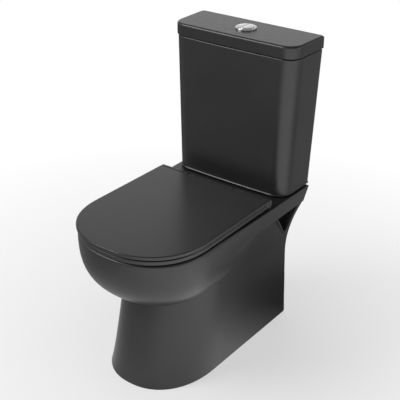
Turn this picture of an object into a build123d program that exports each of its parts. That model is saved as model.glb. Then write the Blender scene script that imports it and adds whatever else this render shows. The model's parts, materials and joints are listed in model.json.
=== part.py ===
from build123d import *
import os
from math import cos, pi, sin

os.makedirs("parts", exist_ok=True)

# A close coupled toilet: a skirted ceramic pan with a cistern bolted to its deck.
# Millimetres. X runs across, the front is -Y, the wall is +Y and the floor is Z = 0.

# ---- overall ----
WALL_Y = 310.0  # the wall plane, and the back of the cistern lid
COVER_TIP_Y = -310.0
CLEAR = 0.3  # between pieces that must not touch
FIT = 0.05  # a turning or sliding fit, on the radius
LOOSE = 0.15  # a nut on its thread, or a plug in its pocket, on the radius

# ---- pan: the upper body, from the rim down to the underside of the bowl ----
PAN_TOP = 400.0
CHINA = 11.0  # wall of the pan casting
NOSE_POWER = 2.25  # the plan of every rounded nose is a superellipse
RIM_HALF = 175.0
RIM_TIP_Y = -305.5
RIM_NOSE = 168.0
BOWL_LOW = PAN_TOP - 163.0
BOWL_LOW_HALF = 94.0
BOWL_LOW_TIP_Y = -190.0
BOWL_LOW_NOSE = 120.0
DECK_REAR_Y = 289.0
DECK_HALF = 180.0
DECK_LOW_HALF = 166.0
DECK_LOW = PAN_TOP - 50.0  # the lower edge of the band round the deck

# ---- pan: the skirt that stands on the floor ----
SKIRT_HALF = 138.0
SKIRT_TIP_Y = -244.0
SKIRT_NOSE = 176.0
SKIRT_REAR_Y = 264.0
NECK = PAN_TOP - 160.0  # where the skirt meets the underside of the bowl
NECK_HALF = 130.0
NECK_TIP_Y = -179.0
NECK_NOSE = 150.0
FLARE_LOW = PAN_TOP - 215.0  # from here up the back of the skirt widens to the deck
FLARE_STEP = 1.0  # the flared skirt stays this far inside the deck
OPEN_BACK = 40.0  # the hollow runs this far past the skirt's back, which is open
OPEN_BACK_TOP = NECK + 25.0  # above this a wall closes the back, under the deck

# ---- pan: basin, trap, flush duct ----
BASIN_HALF = 122.0
BASIN_FRONT_Y = -262.0
BASIN_REAR_Y = 52.0
BASIN_POWER = 1.9  # how long the basin stays wide before it closes in
SUMP_FLOOR = PAN_TOP - 240.0
SUMP_R = 40.0
SUMP_Y = 2.0
TRAP_BORE = 31.0
TRAP_WALL = 9.0
TRAP_BEND = 45.0
OUTLET_R = 51.0
OUTLET_HEIGHT = 185.0
OUTLET_LENGTH = 50.0
OUTLET_END_Y = 283.0
DUCT_HALF = 34.0
DUCT_FLOOR = PAN_TOP - 50.0
DUCT_ROOF = PAN_TOP - 20.0

# ---- cistern ----
SEATING_GAP = 3.0  # the cistern stands this far above the deck, on rubber
TANK_FLOOR = PAN_TOP + SEATING_GAP
TANK_HEIGHT = 364.0
TANK_TOP_HALF = 185.0
TANK_TOP_BACK_Y = WALL_Y - 3.0
TANK_TOP_DEPTH = 130.0
TANK_LOW_HALF = 172.0
TANK_LOW_BACK_Y = WALL_Y - 14.0
TANK_LOW_DEPTH = 125.0
TANK_CORNER = 42.0
TANK_BOW = 4.0
TANK_WALL = 9.0
TANK_FLOOR_WALL = 12.0
BACK_CORNER = 8.0
LID_GAP = 2.0
LID_HALF = 187.0
LID_DEPTH = 136.0
LID_HEIGHT = 31.5
LID_TAPER = 3.0
LID_CORNER = 38.0
LID_BOW = 2.5
LID_EDGE = 6.0
LID_WALL = 10.0
WALL_HOLE_X = 120.0
WALL_HOLE_R = 4.0
WALL_HOLE_HEIGHT = TANK_FLOOR + 297.0

# ---- seat, cover and hinges ----
SEAT_HALF = 174.0
SEAT_NOSE = 168.0
SEAT_LIFT = 3.0  # height of the seat's rubber buffers
SEAT_THICK = 10.5
COVER_GAP = 3.5
COVER_THICK = 9.0
COVER_SHELL = 5.0
COVER_RIM = 10.0  # width of the solid rim round the hollow underside
COVER_HEEL = 30.0  # and of the solid strip along the back
COVER_EDGE = 3.0
SEAT_EDGE = 2.5
SEAT_HOLE_HALF = 112.0
SEAT_HOLE_FRONT_Y = -250.0
SEAT_HOLE_REAR_Y = 38.0
HINGE_Y = 110.0
BAR_R = 11.5  # the round bar along the back of the seat
HINGE_X = 72.5
POST_WIDTH = 24.0
POST_R = 10.0
LUG_WIDTH = 10.0
PIN_R = 5.0
PIN_HOLD = 22.0  # how far each hinge pin reaches into the seat's bar, each side
HINGE_BASE_R = 20.0
HINGE_BASE = 2.5
HINGE_WASHER_R = 15.0
HINGE_NUT_R = 11.0
HINGE_NUT = 12.0
STUD_R = 4.0
STUD_LENGTH = 58.0
STUD_HOLE_R = 7.0
SEAT_BUFFER_X = 143.0
SEAT_BUFFER_R = 8.0
COVER_BUFFER_X = 140.0
COVER_BUFFER_R = 6.0

# ---- fittings between cistern and pan ----
VALVE_Y = 240.0
BOLT_X = 74.0
BOLT_R = 4.9
BOLT_HOLE_R = 6.0
SHANK_R = 30.0
SHANK_BORE = 26.0
SHANK_LENGTH = 28.0
OUTLET_NUT_R = 38.0
OUTLET_NUT = 11.0
SOCKET_R = 48.0
SOCKET_DEPTH = 17.0
INLET_R = 34.0
FILL_X = -107.0
FILL_HOLE_R = 18.5
BSP_HALF_R = 10.48  # outside radius of a half inch pipe thread
FILL_WASHER_R = 18.0
TAIL_LENGTH = 58.0
TAIL_THREAD = 40.0
TAIL_NECK_R = 10.3
WASHER = 3.0
FLANGE = 6.0

# ---- push buttons ----
BEZEL_R = 27.0
BEZEL_RISE = 4.5
BARREL_R = 23.0
BARREL_BORE = 21.3
BARREL_LENGTH = 52.0
BUTTON_R = BARREL_BORE - CLEAR
BUTTON_RISE = 2.0
BUTTON_THICK = 12.0
BUTTON_TRAVEL = 6.0
BUTTON_SPLIT_X = -3.0  # the half flush button is the smaller one, at -X
ROD_R = 3.0
ROD_X = 11.0
ROD_ROOM = 3.0  # left between a pressed rod and the lifted tube
ROD_END = 3.0
ROD_END_R = 5.0

# ---- valves inside the cistern ----
CAGE_R = 38.0
CAGE_TOP = TANK_FLOOR + 207.0
CAGE_WALL = 3.0
TUBE_R = 15.0
TUBE_BORE = 12.5
TUBE_TOP = TANK_FLOOR + 257.0
SEAL_R = 32.0
SEAL_THICK = 3.0
VALVE_LIFT = 18.0
FLOAT_R = 24.0
FLOAT_HEIGHT = 55.0
FLOAT_LOW = TANK_FLOOR + 67.0
RISER_R = 9.0
FILL_HEAD_LOW = TANK_FLOOR + 197.0
FILL_HEAD = 36.0
LEVER_LENGTH = 40.0
LEVER_WIDTH = 7.0
LEVER_END_R = 5.0

# ---- floor fixings ----
SIDE_SCREW_Y = 207.0
SIDE_SCREW_HEIGHT = 36.0
SIDE_SCREW_R = 3.0
SIDE_HOLE_R = 5.5
BRACKET_WIDTH = 34.0
BRACKET_HEIGHT = 60.0
BRACKET_WALL = 6.0
BRACKET_FOOT = 34.0
BRACKET_ROOM = 4.0  # between bracket and casting, which is not true
SCREW_IN = 16.0  # how far a side screw reaches in past the bracket's face, and out to its head
SCREW_OUT = 12.0
SCREW_HEAD = 2.0
FLOOR_HOLE_R = 4.0

# ---- worked out from the above ----
TANK_RIM = TANK_FLOOR + TANK_HEIGHT
LID_LOW = TANK_RIM + LID_GAP
LID_TOP = LID_LOW + LID_HEIGHT
TANK_INSIDE = TANK_FLOOR + TANK_FLOOR_WALL
SEAT_LOW = PAN_TOP + SEAT_LIFT
SEAT_TOP = SEAT_LOW + SEAT_THICK
COVER_LOW = SEAT_TOP + COVER_GAP
COVER_TOP = COVER_LOW + COVER_THICK
HINGE_HEIGHT = COVER_TOP - BAR_R
DECK_INSIDE = PAN_TOP - CHINA
VALVE_SEAT = TANK_INSIDE + WASHER + FLANGE
SIDES = (-1, 1)


def nose_outline(half, tip, nose, rear, rear_half):
    """Plan outline with a straight back and a superelliptic nose pointing to -Y."""
    share = 2 / NOSE_POWER
    steps = 6
    curve = [(half, tip + nose)]
    for step in range(1, steps):
        turn = pi / 2 * step / steps
        curve.append((half * cos(turn) ** share, tip + nose * (1 - sin(turn) ** share)))
    curve.append((0, tip))
    with BuildSketch() as outline:
        with BuildLine():
            Spline(*curve, tangents=((0, -1), (-1, 0)))
            Polyline((half, tip + nose), (rear_half, rear), (0, rear))
            mirror(about=Plane.YZ)
        make_face()
    return outline.sketch


def bowed_outline(half, taper, back, depth, corner, bow, inset=0.0):
    """Plan outline of the cistern: flat back, rounded front corners and a bowed front."""
    back = back - inset
    front = back - depth + 2 * inset
    wide = half - inset
    narrow = wide - taper
    with BuildSketch() as outline:
        with BuildLine():
            Polyline((-narrow, front), (-wide, back), (wide, back), (narrow, front))
            ThreePointArc((narrow, front), (0, front - bow), (-narrow, front))
        make_face()
        fillet(outline.vertices().group_by(Axis.Y)[0], max(corner - inset, 1))
        fillet(outline.vertices().group_by(Axis.Y)[-1], BACK_CORNER)
    return outline.sketch


def finish(piece, name):
    """Label a finished piece and write it."""
    piece.part.label = name
    export_step(piece.part, "parts/" + name + ".step")


def bowl_section(share, inset=0.0):
    """Half width, tip and nose of the bowl at a share of the way down its side."""
    bulge = (1 - share**2.92) ** (1 / 1.74)
    half = BOWL_LOW_HALF + (RIM_HALF - BOWL_LOW_HALF) * bulge - inset
    tip = BOWL_LOW_TIP_Y + (RIM_TIP_Y - BOWL_LOW_TIP_Y) * bulge + inset
    nose = BOWL_LOW_NOSE + (RIM_NOSE - BOWL_LOW_NOSE) * bulge - inset
    return half, tip, nose


def skirt_section(height, inset=0.0):
    """Half width, tip, nose, rear and rear half width of the skirt at a height."""
    share = min(height / NECK, 1.0)
    above = min(max(height - FLARE_LOW, 0.0) / (DECK_LOW - FLARE_LOW), 1.0)
    half = SKIRT_HALF + (NECK_HALF - SKIRT_HALF) * share
    rear_half = half + (DECK_LOW_HALF - FLARE_STEP - half) * above**2
    tip = SKIRT_TIP_Y + (NECK_TIP_Y - SKIRT_TIP_Y) * share**0.8
    nose = SKIRT_NOSE + (NECK_NOSE - SKIRT_NOSE) * share
    rear = SKIRT_REAR_Y + (DECK_REAR_Y - FLARE_STEP - SKIRT_REAR_Y) * above**2
    return half - inset, tip + inset, nose - inset, rear, rear_half - inset


def basin_plan(depth, wall=0.0):
    """Plane and half sizes of the basin's ellipse, from its mouth (0) to its sump (1)."""
    share = depth**BASIN_POWER
    height = PAN_TOP + (SUMP_FLOOR - PAN_TOP) * depth
    half = BASIN_HALF + (SUMP_R - BASIN_HALF) * share + wall
    mouth_length = (BASIN_REAR_Y - BASIN_FRONT_Y) / 2
    mouth_middle = (BASIN_REAR_Y + BASIN_FRONT_Y) / 2
    length = mouth_length + (SUMP_R - mouth_length) * share + wall
    middle = mouth_middle + (SUMP_Y - mouth_middle) * share
    return Plane(origin=(0, middle, height)), half, length


def sweep_profile(drop):
    """Side view of what is cut away under the deck and behind the bowl."""
    low = BOWL_LOW - 6
    with BuildSketch() as profile:
        with BuildLine():
            Spline(
                (75, DECK_LOW + drop),
                (23 - drop, PAN_TOP - 58 + drop),
                (-22 - drop, PAN_TOP - 84 + drop),
                (-47 - drop, PAN_TOP - 120),
                (-60 - drop, low),
            )
            Polyline(
                (-60 - drop, low),
                (WALL_Y, low),
                (WALL_Y, DECK_LOW + drop),
                (75, DECK_LOW + drop),
            )
        make_face()
    return profile.sketch


def height_share(height):
    """How far down the bowl's side a height is, from the rim (0) to its underside (1)."""
    return (PAN_TOP - height) / (PAN_TOP - BOWL_LOW)


def deck_half(height):
    """Half width of the deck's back, which tapers down to the lower edge of its band."""
    above = max(height - DECK_LOW, 0) / (PAN_TOP - DECK_LOW)
    return DECK_LOW_HALF + (DECK_HALF - DECK_LOW_HALF) * above


# ---- the outside of the pan ----
band_middle = (PAN_TOP + DECK_LOW) / 2
bowl_shares = (0.0, height_share(band_middle), height_share(DECK_LOW), 0.45, 0.6, 0.75, 0.88, 0.96, 1.0)
with BuildPart() as upper_body:
    for share in bowl_shares:
        height = PAN_TOP - (PAN_TOP - BOWL_LOW) * share
        half, tip, nose = bowl_section(share)
        rear_half = deck_half(height) if height >= DECK_LOW else min(half, DECK_LOW_HALF)
        with BuildSketch(Plane.XY.offset(height)):
            add(nose_outline(half, tip, nose, DECK_REAR_Y, rear_half))
    loft(ruled=True)
    # Under the deck the body ends in one sweep that runs forward and down to the skirt.
    with BuildSketch(Plane.YZ):
        add(sweep_profile(0))
    extrude(amount=DECK_HALF + 20, both=True, mode=Mode.SUBTRACT)

low_heights = (0.0, NECK / 3, FLARE_LOW, NECK - 25, NECK, OPEN_BACK_TOP)
high_heights = (OPEN_BACK_TOP, NECK + 50, NECK + 80, DECK_LOW)
with BuildPart() as skirt:
    for height in low_heights + high_heights[1:-1] + (DECK_LOW + FLARE_STEP,):
        half, tip, nose, rear, rear_half = skirt_section(height)
        with BuildSketch(Plane.XY.offset(height)):
            add(nose_outline(half, tip, nose, rear, rear_half))
    loft(ruled=True)

# ---- the hollows of the pan, inside its casting ----
with BuildPart() as skirt_hollow:
    for height in low_heights:
        half, tip, nose, rear, rear_half = skirt_section(height, CHINA)
        with BuildSketch(Plane.XY.offset(height if height else -1)):
            add(nose_outline(half, tip, nose, rear + OPEN_BACK, rear_half))
    loft(ruled=True)
    for height in high_heights + (DECK_INSIDE,):
        half, tip, nose, rear, rear_half = skirt_section(height, CHINA)
        with BuildSketch(Plane.XY.offset(height)):
            add(nose_outline(half, tip, nose, rear - CHINA, rear_half))
    loft(ruled=True)

with BuildPart() as bowl_hollow:
    for share in (CHINA / (PAN_TOP - BOWL_LOW), 0.2, 0.4, 0.6, 0.75, 0.88, 0.93):
        half, tip, nose = bowl_section(share, CHINA)
        with BuildSketch(Plane.XY.offset(PAN_TOP - (PAN_TOP - BOWL_LOW) * share)):
            add(nose_outline(half, tip, nose, 100, min(half, DECK_LOW_HALF - CHINA)))
    loft(ruled=True)
    with BuildSketch(Plane.YZ):
        add(sweep_profile(CHINA))
    extrude(amount=DECK_HALF + 20, both=True, mode=Mode.SUBTRACT)

basin_depths = (0.0, 0.2, 0.4, 0.55, 0.7, 0.85, 1.0)
with BuildPart() as basin_shell:
    for depth in basin_depths:
        plane, half, length = basin_plan(depth, CHINA)
        if depth == 1.0:
            plane = plane.offset(-CHINA)
        with BuildSketch(plane):
            Ellipse(half, length)
    loft(ruled=True)

with BuildPart() as basin:
    for depth in basin_depths:
        plane, half, length = basin_plan(depth)
        if depth == 0.0:
            plane = plane.offset(1)
        with BuildSketch(plane):
            Ellipse(half, length)
    loft(ruled=True)

# The trap leaves the foot of the sump, climbs over the weir and falls to the outlet.
with BuildLine(Plane.YZ) as trap_line:
    FilletPolyline(
        (SUMP_Y - 18, SUMP_FLOOR + TRAP_BORE),
        (SUMP_Y + 48, SUMP_FLOOR + TRAP_BORE),
        (SUMP_Y + 112, SUMP_FLOOR + TRAP_BORE + 64),
        (SUMP_Y + 178, OUTLET_HEIGHT),
        (OUTLET_END_Y - OUTLET_LENGTH + 2, OUTLET_HEIGHT),
        radius=TRAP_BEND,
    )

with BuildPart() as trap_tube:
    with BuildSketch(Plane(origin=trap_line.line @ 0, z_dir=trap_line.line % 0)):
        Circle(TRAP_BORE + TRAP_WALL)
    sweep(path=trap_line.line)
    with BuildSketch(Plane.XZ.offset(-OUTLET_END_Y)):
        with Locations((0, OUTLET_HEIGHT)):
            Circle(OUTLET_R)
    extrude(amount=OUTLET_LENGTH)

with BuildPart() as trap_bore:
    with BuildSketch(Plane(origin=trap_line.line @ 0, z_dir=trap_line.line % 0)):
        Circle(TRAP_BORE)
    sweep(path=trap_line.line)
    with BuildSketch(Plane.XZ.offset(-OUTLET_END_Y - 1)):
        with Locations((0, OUTLET_HEIGHT)):
            Circle(OUTLET_R - TRAP_WALL)
    extrude(amount=OUTLET_LENGTH)

# The flush falls through the deck socket into a duct that opens under the rim.
with BuildPart() as duct_block:
    duct_low = DUCT_FLOOR - TRAP_WALL
    with BuildSketch(Plane.XY.offset(duct_low)):
        with Locations((0, (BASIN_REAR_Y + VALVE_Y) / 2)):
            Rectangle(2 * (DUCT_HALF + TRAP_WALL), VALVE_Y - BASIN_REAR_Y)
        with Locations((0, VALVE_Y)):
            Circle(SOCKET_R + TRAP_WALL)
    extrude(amount=PAN_TOP - duct_low)

with BuildPart() as duct_bore:
    with BuildSketch(Plane.XY.offset(DUCT_FLOOR)):
        with Locations((0, (BASIN_REAR_Y - 12 + VALVE_Y) / 2)):
            Rectangle(2 * DUCT_HALF, VALVE_Y - BASIN_REAR_Y + 12)
        with Locations((0, VALVE_Y)):
            Circle(DUCT_HALF)
    extrude(amount=DUCT_ROOF - DUCT_FLOOR)
    with BuildSketch(Plane.XY.offset(DUCT_FLOOR)):
        with Locations((0, VALVE_Y)):
            Circle(INLET_R)
    extrude(amount=PAN_TOP + 1 - DUCT_FLOOR)
    with BuildSketch(Plane.XY.offset(PAN_TOP - SOCKET_DEPTH)):
        with Locations((0, VALVE_Y)):
            Circle(SOCKET_R)
    extrude(amount=SOCKET_DEPTH + 1)

with BuildPart() as casting_hollow:
    add(skirt_hollow.part)
    add(bowl_hollow.part)
    add(basin_shell.part, mode=Mode.SUBTRACT)
    add(trap_tube.part, mode=Mode.SUBTRACT)
    add(duct_block.part, mode=Mode.SUBTRACT)

with BuildPart() as pan:
    add(upper_body.part)
    add(skirt.part)
    add(casting_hollow.part, mode=Mode.SUBTRACT)
    # the spigot stands out of the open back
    add(trap_tube.part)
    add(basin.part, mode=Mode.SUBTRACT)
    add(trap_bore.part, mode=Mode.SUBTRACT)
    add(duct_bore.part, mode=Mode.SUBTRACT)
    # a hand reaches the fixings through a three cornered opening in each side
    opening_top = DECK_LOW - 1
    opening_low = PAN_TOP - 138
    for side in SIDES:
        with BuildSketch(Plane.YZ.offset(side * (NECK_HALF - 25))):
            with BuildLine():
                Spline((170, opening_top), (197, opening_top - 33), (243, opening_low))
                Spline((243, opening_low), (263, opening_low + 38), (273, opening_top))
                Line((273, opening_top), (170, opening_top))
            make_face()
        extrude(amount=side * 80, mode=Mode.SUBTRACT)
    # holes through the deck: seat studs, cistern bolts and the water inlet
    with Locations((0, 0, PAN_TOP)):
        with Locations(*((side * HINGE_X, HINGE_Y) for side in SIDES)):
            Hole(STUD_HOLE_R, depth=CHINA + 4)
        with Locations(*((side * BOLT_X, VALVE_Y) for side in SIDES)):
            Hole(BOLT_HOLE_R, depth=CHINA + 4)
        with Locations((FILL_X, VALVE_Y)):
            Hole(FILL_HOLE_R, depth=CHINA + 4)
    # holes low in the skirt for the side fixing screws
    with Locations(Plane.YZ):
        with Locations(*((SIDE_SCREW_Y, SIDE_SCREW_HEIGHT, side * SKIRT_HALF) for side in SIDES)):
            Cylinder(SIDE_HOLE_R, 4 * CHINA, mode=Mode.SUBTRACT)
finish(pan, "pan")


def round_stack(name, *steps, at=((0, VALVE_Y),), bore=0.0):
    """Coaxial cylinders, each (low, high, radius), bored through and repeated at each place."""
    low = min(step[0] for step in steps)
    high = max(step[1] for step in steps)
    with BuildPart() as piece:
        for x, y in at:
            for bottom, top, radius in steps:
                with BuildSketch(Plane.XY.offset(bottom)):
                    with Locations((x, y)):
                        Circle(radius)
                extrude(amount=top - bottom)
            if bore:
                with BuildSketch(Plane.XY.offset(low)):
                    with Locations((x, y)):
                        Circle(bore)
                extrude(amount=high - low, mode=Mode.SUBTRACT)
    finish(piece, name)
    return piece


# ---- cistern ----
tank_levels = (
    (TANK_FLOOR, TANK_LOW_HALF, TANK_LOW_BACK_Y, TANK_LOW_DEPTH),
    (TANK_RIM, TANK_TOP_HALF, TANK_TOP_BACK_Y, TANK_TOP_DEPTH),
)
with BuildPart() as cistern:
    for height, half, back, depth in tank_levels:
        with BuildSketch(Plane.XY.offset(height)):
            add(bowed_outline(half, 0, back, depth, TANK_CORNER, TANK_BOW))
    loft(ruled=True)
    fillet(cistern.edges().group_by(Axis.Z)[0], 6)
    for height, half, back, depth in tank_levels:
        level = TANK_INSIDE if height == TANK_FLOOR else height + 1
        with BuildSketch(Plane.XY.offset(level)):
            add(bowed_outline(half, 0, back, depth, TANK_CORNER, TANK_BOW, TANK_WALL))
    loft(ruled=True, mode=Mode.SUBTRACT)
    with Locations((0, VALVE_Y, TANK_INSIDE)):
        Hole(SHANK_R + 1, depth=TANK_FLOOR_WALL)
    with Locations(*((side * BOLT_X, VALVE_Y, TANK_INSIDE) for side in SIDES)):
        Hole(BOLT_HOLE_R, depth=TANK_FLOOR_WALL)
    with Locations((FILL_X, VALVE_Y, TANK_INSIDE)):
        Hole(BSP_HALF_R + 1, depth=TANK_FLOOR_WALL)
    # screw holes in the back, for fixing the cistern to a wall
    with BuildSketch(Plane.XZ.offset(-WALL_Y)):
        with Locations(*((side * WALL_HOLE_X, WALL_HOLE_HEIGHT) for side in SIDES)):
            Circle(WALL_HOLE_R)
    extrude(amount=40, mode=Mode.SUBTRACT)
finish(cistern, "cistern")

with BuildPart() as cistern_lid:
    with BuildSketch(Plane.XY.offset(LID_LOW)):
        add(bowed_outline(LID_HALF, LID_TAPER, WALL_Y, LID_DEPTH, LID_CORNER, LID_BOW))
    extrude(amount=LID_HEIGHT)
    fillet(cistern_lid.edges().group_by(Axis.Z)[-1], LID_EDGE)
    with BuildSketch(Plane.XY.offset(LID_LOW)):
        add(bowed_outline(LID_HALF, LID_TAPER, WALL_Y, LID_DEPTH, LID_CORNER, LID_BOW, LID_WALL + 8))
    extrude(amount=LID_HEIGHT - LID_WALL, mode=Mode.SUBTRACT)
    with Locations((0, VALVE_Y, LID_TOP)):
        Hole(BARREL_R + 1, depth=LID_HEIGHT)
finish(cistern_lid, "cistern_lid")

# small rubber pads keep lid from cistern and cistern from pan
with BuildPart() as lid_pads:
    with BuildSketch(Plane.XY.offset(TANK_RIM)):
        with Locations(*((side * (TANK_TOP_HALF - 6), VALVE_Y + y) for side in SIDES for y in (-20, 35))):
            Rectangle(6, 18)
    extrude(amount=LID_GAP)
finish(lid_pads, "lid_pads")

with BuildPart() as cistern_pads:
    with BuildSketch(Plane.XY.offset(PAN_TOP)):
        with Locations(*((side * 128, VALVE_Y + y) for side in SIDES for y in (-45, 40))):
            RectangleRounded(36, 14, 4)
    extrude(amount=SEATING_GAP)
finish(cistern_pads, "cistern_pads")

# ---- what couples the cistern to the pan ----
PLATE = SEATING_GAP - 1.0
with BuildPart() as coupling_plate:
    with BuildSketch(Plane.XY.offset(TANK_FLOOR - PLATE)):
        with Locations((0, VALVE_Y)):
            RectangleRounded(2 * BOLT_X + 34, 34, 10)
            Circle(OUTLET_NUT_R + 4)
            Circle(SHANK_R + LOOSE, mode=Mode.SUBTRACT)
            with Locations((-BOLT_X, 0), (BOLT_X, 0)):
                SlotOverall(24, 2 * BOLT_HOLE_R, mode=Mode.SUBTRACT)
    extrude(amount=PLATE)
finish(coupling_plate, "coupling_plate")

bolt_places = [(side * BOLT_X, VALVE_Y) for side in SIDES]
BOLT_SEAT = TANK_INSIDE + WASHER + 2
UNDER_DECK = DECK_INSIDE - 2
WING_NUT = 12.0
WING_SPAN = 28.0
WING_THICK = 5.0
round_stack("bolt_seals", (TANK_INSIDE, TANK_INSIDE + WASHER, 14), at=bolt_places, bore=BOLT_R + LOOSE)
round_stack(
    "bolt_washers",
    (TANK_INSIDE + WASHER, BOLT_SEAT, 12),
    at=bolt_places,
    bore=BOLT_R + LOOSE,
)
round_stack("deck_washers", (UNDER_DECK, DECK_INSIDE, 14), at=bolt_places, bore=BOLT_R + LOOSE)
round_stack(
    "coupling_bolts",
    (BOLT_SEAT, BOLT_SEAT + 6, 8.5),
    (UNDER_DECK - WING_NUT - 12, BOLT_SEAT, BOLT_R),
    at=bolt_places,
)
with BuildPart() as wing_nuts:
    for x, y in bolt_places:
        with BuildSketch(Plane.XY.offset(UNDER_DECK - WING_NUT)):
            with Locations((x, y)):
                Circle(8)
                SlotOverall(WING_SPAN, WING_THICK)
                Circle(BOLT_R + LOOSE, mode=Mode.SUBTRACT)
        extrude(amount=WING_NUT)
finish(wing_nuts, "wing_nuts")

NUT_TOP = TANK_FLOOR - PLATE
SHANK_FOOT = TANK_FLOOR - SHANK_LENGTH
with BuildPart() as outlet_nut:
    with BuildSketch(Plane.XY.offset(NUT_TOP - OUTLET_NUT)):
        with Locations((0, VALVE_Y)):
            RegularPolygon(OUTLET_NUT_R, 8)
            Circle(SHANK_R + LOOSE, mode=Mode.SUBTRACT)
    extrude(amount=OUTLET_NUT)
finish(outlet_nut, "outlet_nut")

with BuildPart() as doughnut_washer:
    with BuildSketch(Plane.XY.offset(PAN_TOP - SOCKET_DEPTH)):
        with Locations((0, VALVE_Y)):
            Circle(SOCKET_R - CLEAR)
            Circle(SHANK_R + CLEAR, mode=Mode.SUBTRACT)
    extrude(amount=NUT_TOP - CLEAR - PAN_TOP + SOCKET_DEPTH)
    with BuildSketch(Plane.XY.offset(NUT_TOP - OUTLET_NUT - CLEAR)):
        with Locations((0, VALVE_Y)):
            Circle(OUTLET_NUT_R + CLEAR)
    extrude(amount=OUTLET_NUT + CLEAR, mode=Mode.SUBTRACT)
finish(doughnut_washer, "doughnut_washer")

# ---- flush valve ----
round_stack("flush_valve_washer", (TANK_INSIDE, TANK_INSIDE + WASHER, 42), bore=SHANK_R + LOOSE)
SEAT_RING = 5.0
with BuildPart() as flush_valve_body:
    for bottom, top, radius in (
        (SHANK_FOOT, TANK_INSIDE + WASHER, SHANK_R),
        (TANK_INSIDE + WASHER, VALVE_SEAT, 42.0),
        (VALVE_SEAT, VALVE_SEAT + SEAT_RING, SHANK_R),
    ):
        with BuildSketch(Plane.XY.offset(bottom)):
            with Locations((0, VALVE_Y)):
                Circle(radius)
        extrude(amount=top - bottom)
    with BuildSketch(Plane.XY.offset(SHANK_FOOT)):
        with Locations((0, VALVE_Y)):
            Circle(SHANK_BORE)
    extrude(amount=VALVE_SEAT + SEAT_RING - SHANK_FOOT, mode=Mode.SUBTRACT)
finish(flush_valve_body, "flush_valve_body")

with BuildPart() as flush_valve_cage:
    with BuildSketch(Plane.XY.offset(VALVE_SEAT)):
        with Locations((0, VALVE_Y)):
            Circle(CAGE_R)
            Circle(CAGE_R - CAGE_WALL, mode=Mode.SUBTRACT)
    extrude(amount=CAGE_TOP - VALVE_SEAT)
    # four windows let the water in round the seal, and four more above
    for low, high in ((VALVE_SEAT + 8, VALVE_SEAT + 60), (VALVE_SEAT + 80, CAGE_TOP - 16)):
        for turn in (0, 90):
            with BuildSketch(Plane.XY.offset(low)):
                with Locations((0, VALVE_Y)):
                    Rectangle(3 * CAGE_R, 30, rotation=turn + 45)
            extrude(amount=high - low, mode=Mode.SUBTRACT)
finish(flush_valve_cage, "flush_valve_cage")

CAP = 14.0
with BuildPart() as flush_valve_cap:
    with BuildSketch(Plane.XY.offset(CAGE_TOP)):
        with Locations((0, VALVE_Y)):
            Circle(CAGE_R)
            Circle(TUBE_R + CLEAR, mode=Mode.SUBTRACT)
    extrude(amount=CAP)
finish(flush_valve_cap, "flush_valve_cap")

SEAL_LOW = VALVE_SEAT + SEAT_RING
with BuildPart() as overflow_tube:
    for bottom, top, radius in (
        (SEAL_LOW + SEAL_THICK, SEAL_LOW + SEAL_THICK + 4, SEAL_R - 2),
        (SEAL_LOW, TUBE_TOP, TUBE_R),
    ):
        with BuildSketch(Plane.XY.offset(bottom)):
            with Locations((0, VALVE_Y)):
                Circle(radius)
        extrude(amount=top - bottom)
    with BuildSketch(Plane.XY.offset(SEAL_LOW)):
        with Locations((0, VALVE_Y)):
            Circle(TUBE_BORE)
    extrude(amount=TUBE_TOP - SEAL_LOW, mode=Mode.SUBTRACT)
finish(overflow_tube, "overflow_tube")
round_stack("flush_seal", (SEAL_LOW, SEAL_LOW + SEAL_THICK, SEAL_R), bore=TUBE_R + LOOSE)
round_stack("valve_float", (CAGE_TOP - 90, CAGE_TOP - 50, CAGE_R - CAGE_WALL - 4), bore=TUBE_R + LOOSE)

# the yoke clipped near the tube's top is what the buttons' levers lift it by
YOKE = 6.0
with BuildPart() as lift_yoke:
    with BuildSketch(Plane.XY.offset(TUBE_TOP - 20)):
        with Locations((0, VALVE_Y)):
            RectangleRounded(2 * CAGE_R - 4, 16, 5)
            Circle(TUBE_R + 4)
            Circle(TUBE_R + LOOSE, mode=Mode.SUBTRACT)
    extrude(amount=YOKE)
finish(lift_yoke, "lift_yoke")

# ---- push buttons and their rods ----
with BuildPart() as button_bezel:
    for bottom, top, radius in (
        (LID_TOP - BARREL_LENGTH, LID_TOP, BARREL_R),
        (LID_TOP, LID_TOP + BEZEL_RISE, BEZEL_R),
    ):
        with BuildSketch(Plane.XY.offset(bottom)):
            with Locations((0, VALVE_Y)):
                Circle(radius)
        extrude(amount=top - bottom)
    fillet(button_bezel.edges().group_by(Axis.Z)[-1], 2.5)
    with BuildSketch(Plane.XY.offset(LID_TOP - BARREL_LENGTH + 4)):
        with Locations((0, VALVE_Y)):
            Circle(BARREL_BORE)
    extrude(amount=BARREL_LENGTH + BEZEL_RISE, mode=Mode.SUBTRACT)
    with BuildSketch(Plane.XY.offset(LID_TOP - BARREL_LENGTH)):
        with Locations(*((side * ROD_X, VALVE_Y) for side in SIDES)):
            Circle(ROD_R + CLEAR)
    extrude(amount=4, mode=Mode.SUBTRACT)
finish(button_bezel, "button_bezel")

LID_UNDERSIDE = LID_TOP - LID_WALL
round_stack("button_nut", (LID_UNDERSIDE - 8, LID_UNDERSIDE, 31), bore=BARREL_R + LOOSE)

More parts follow.
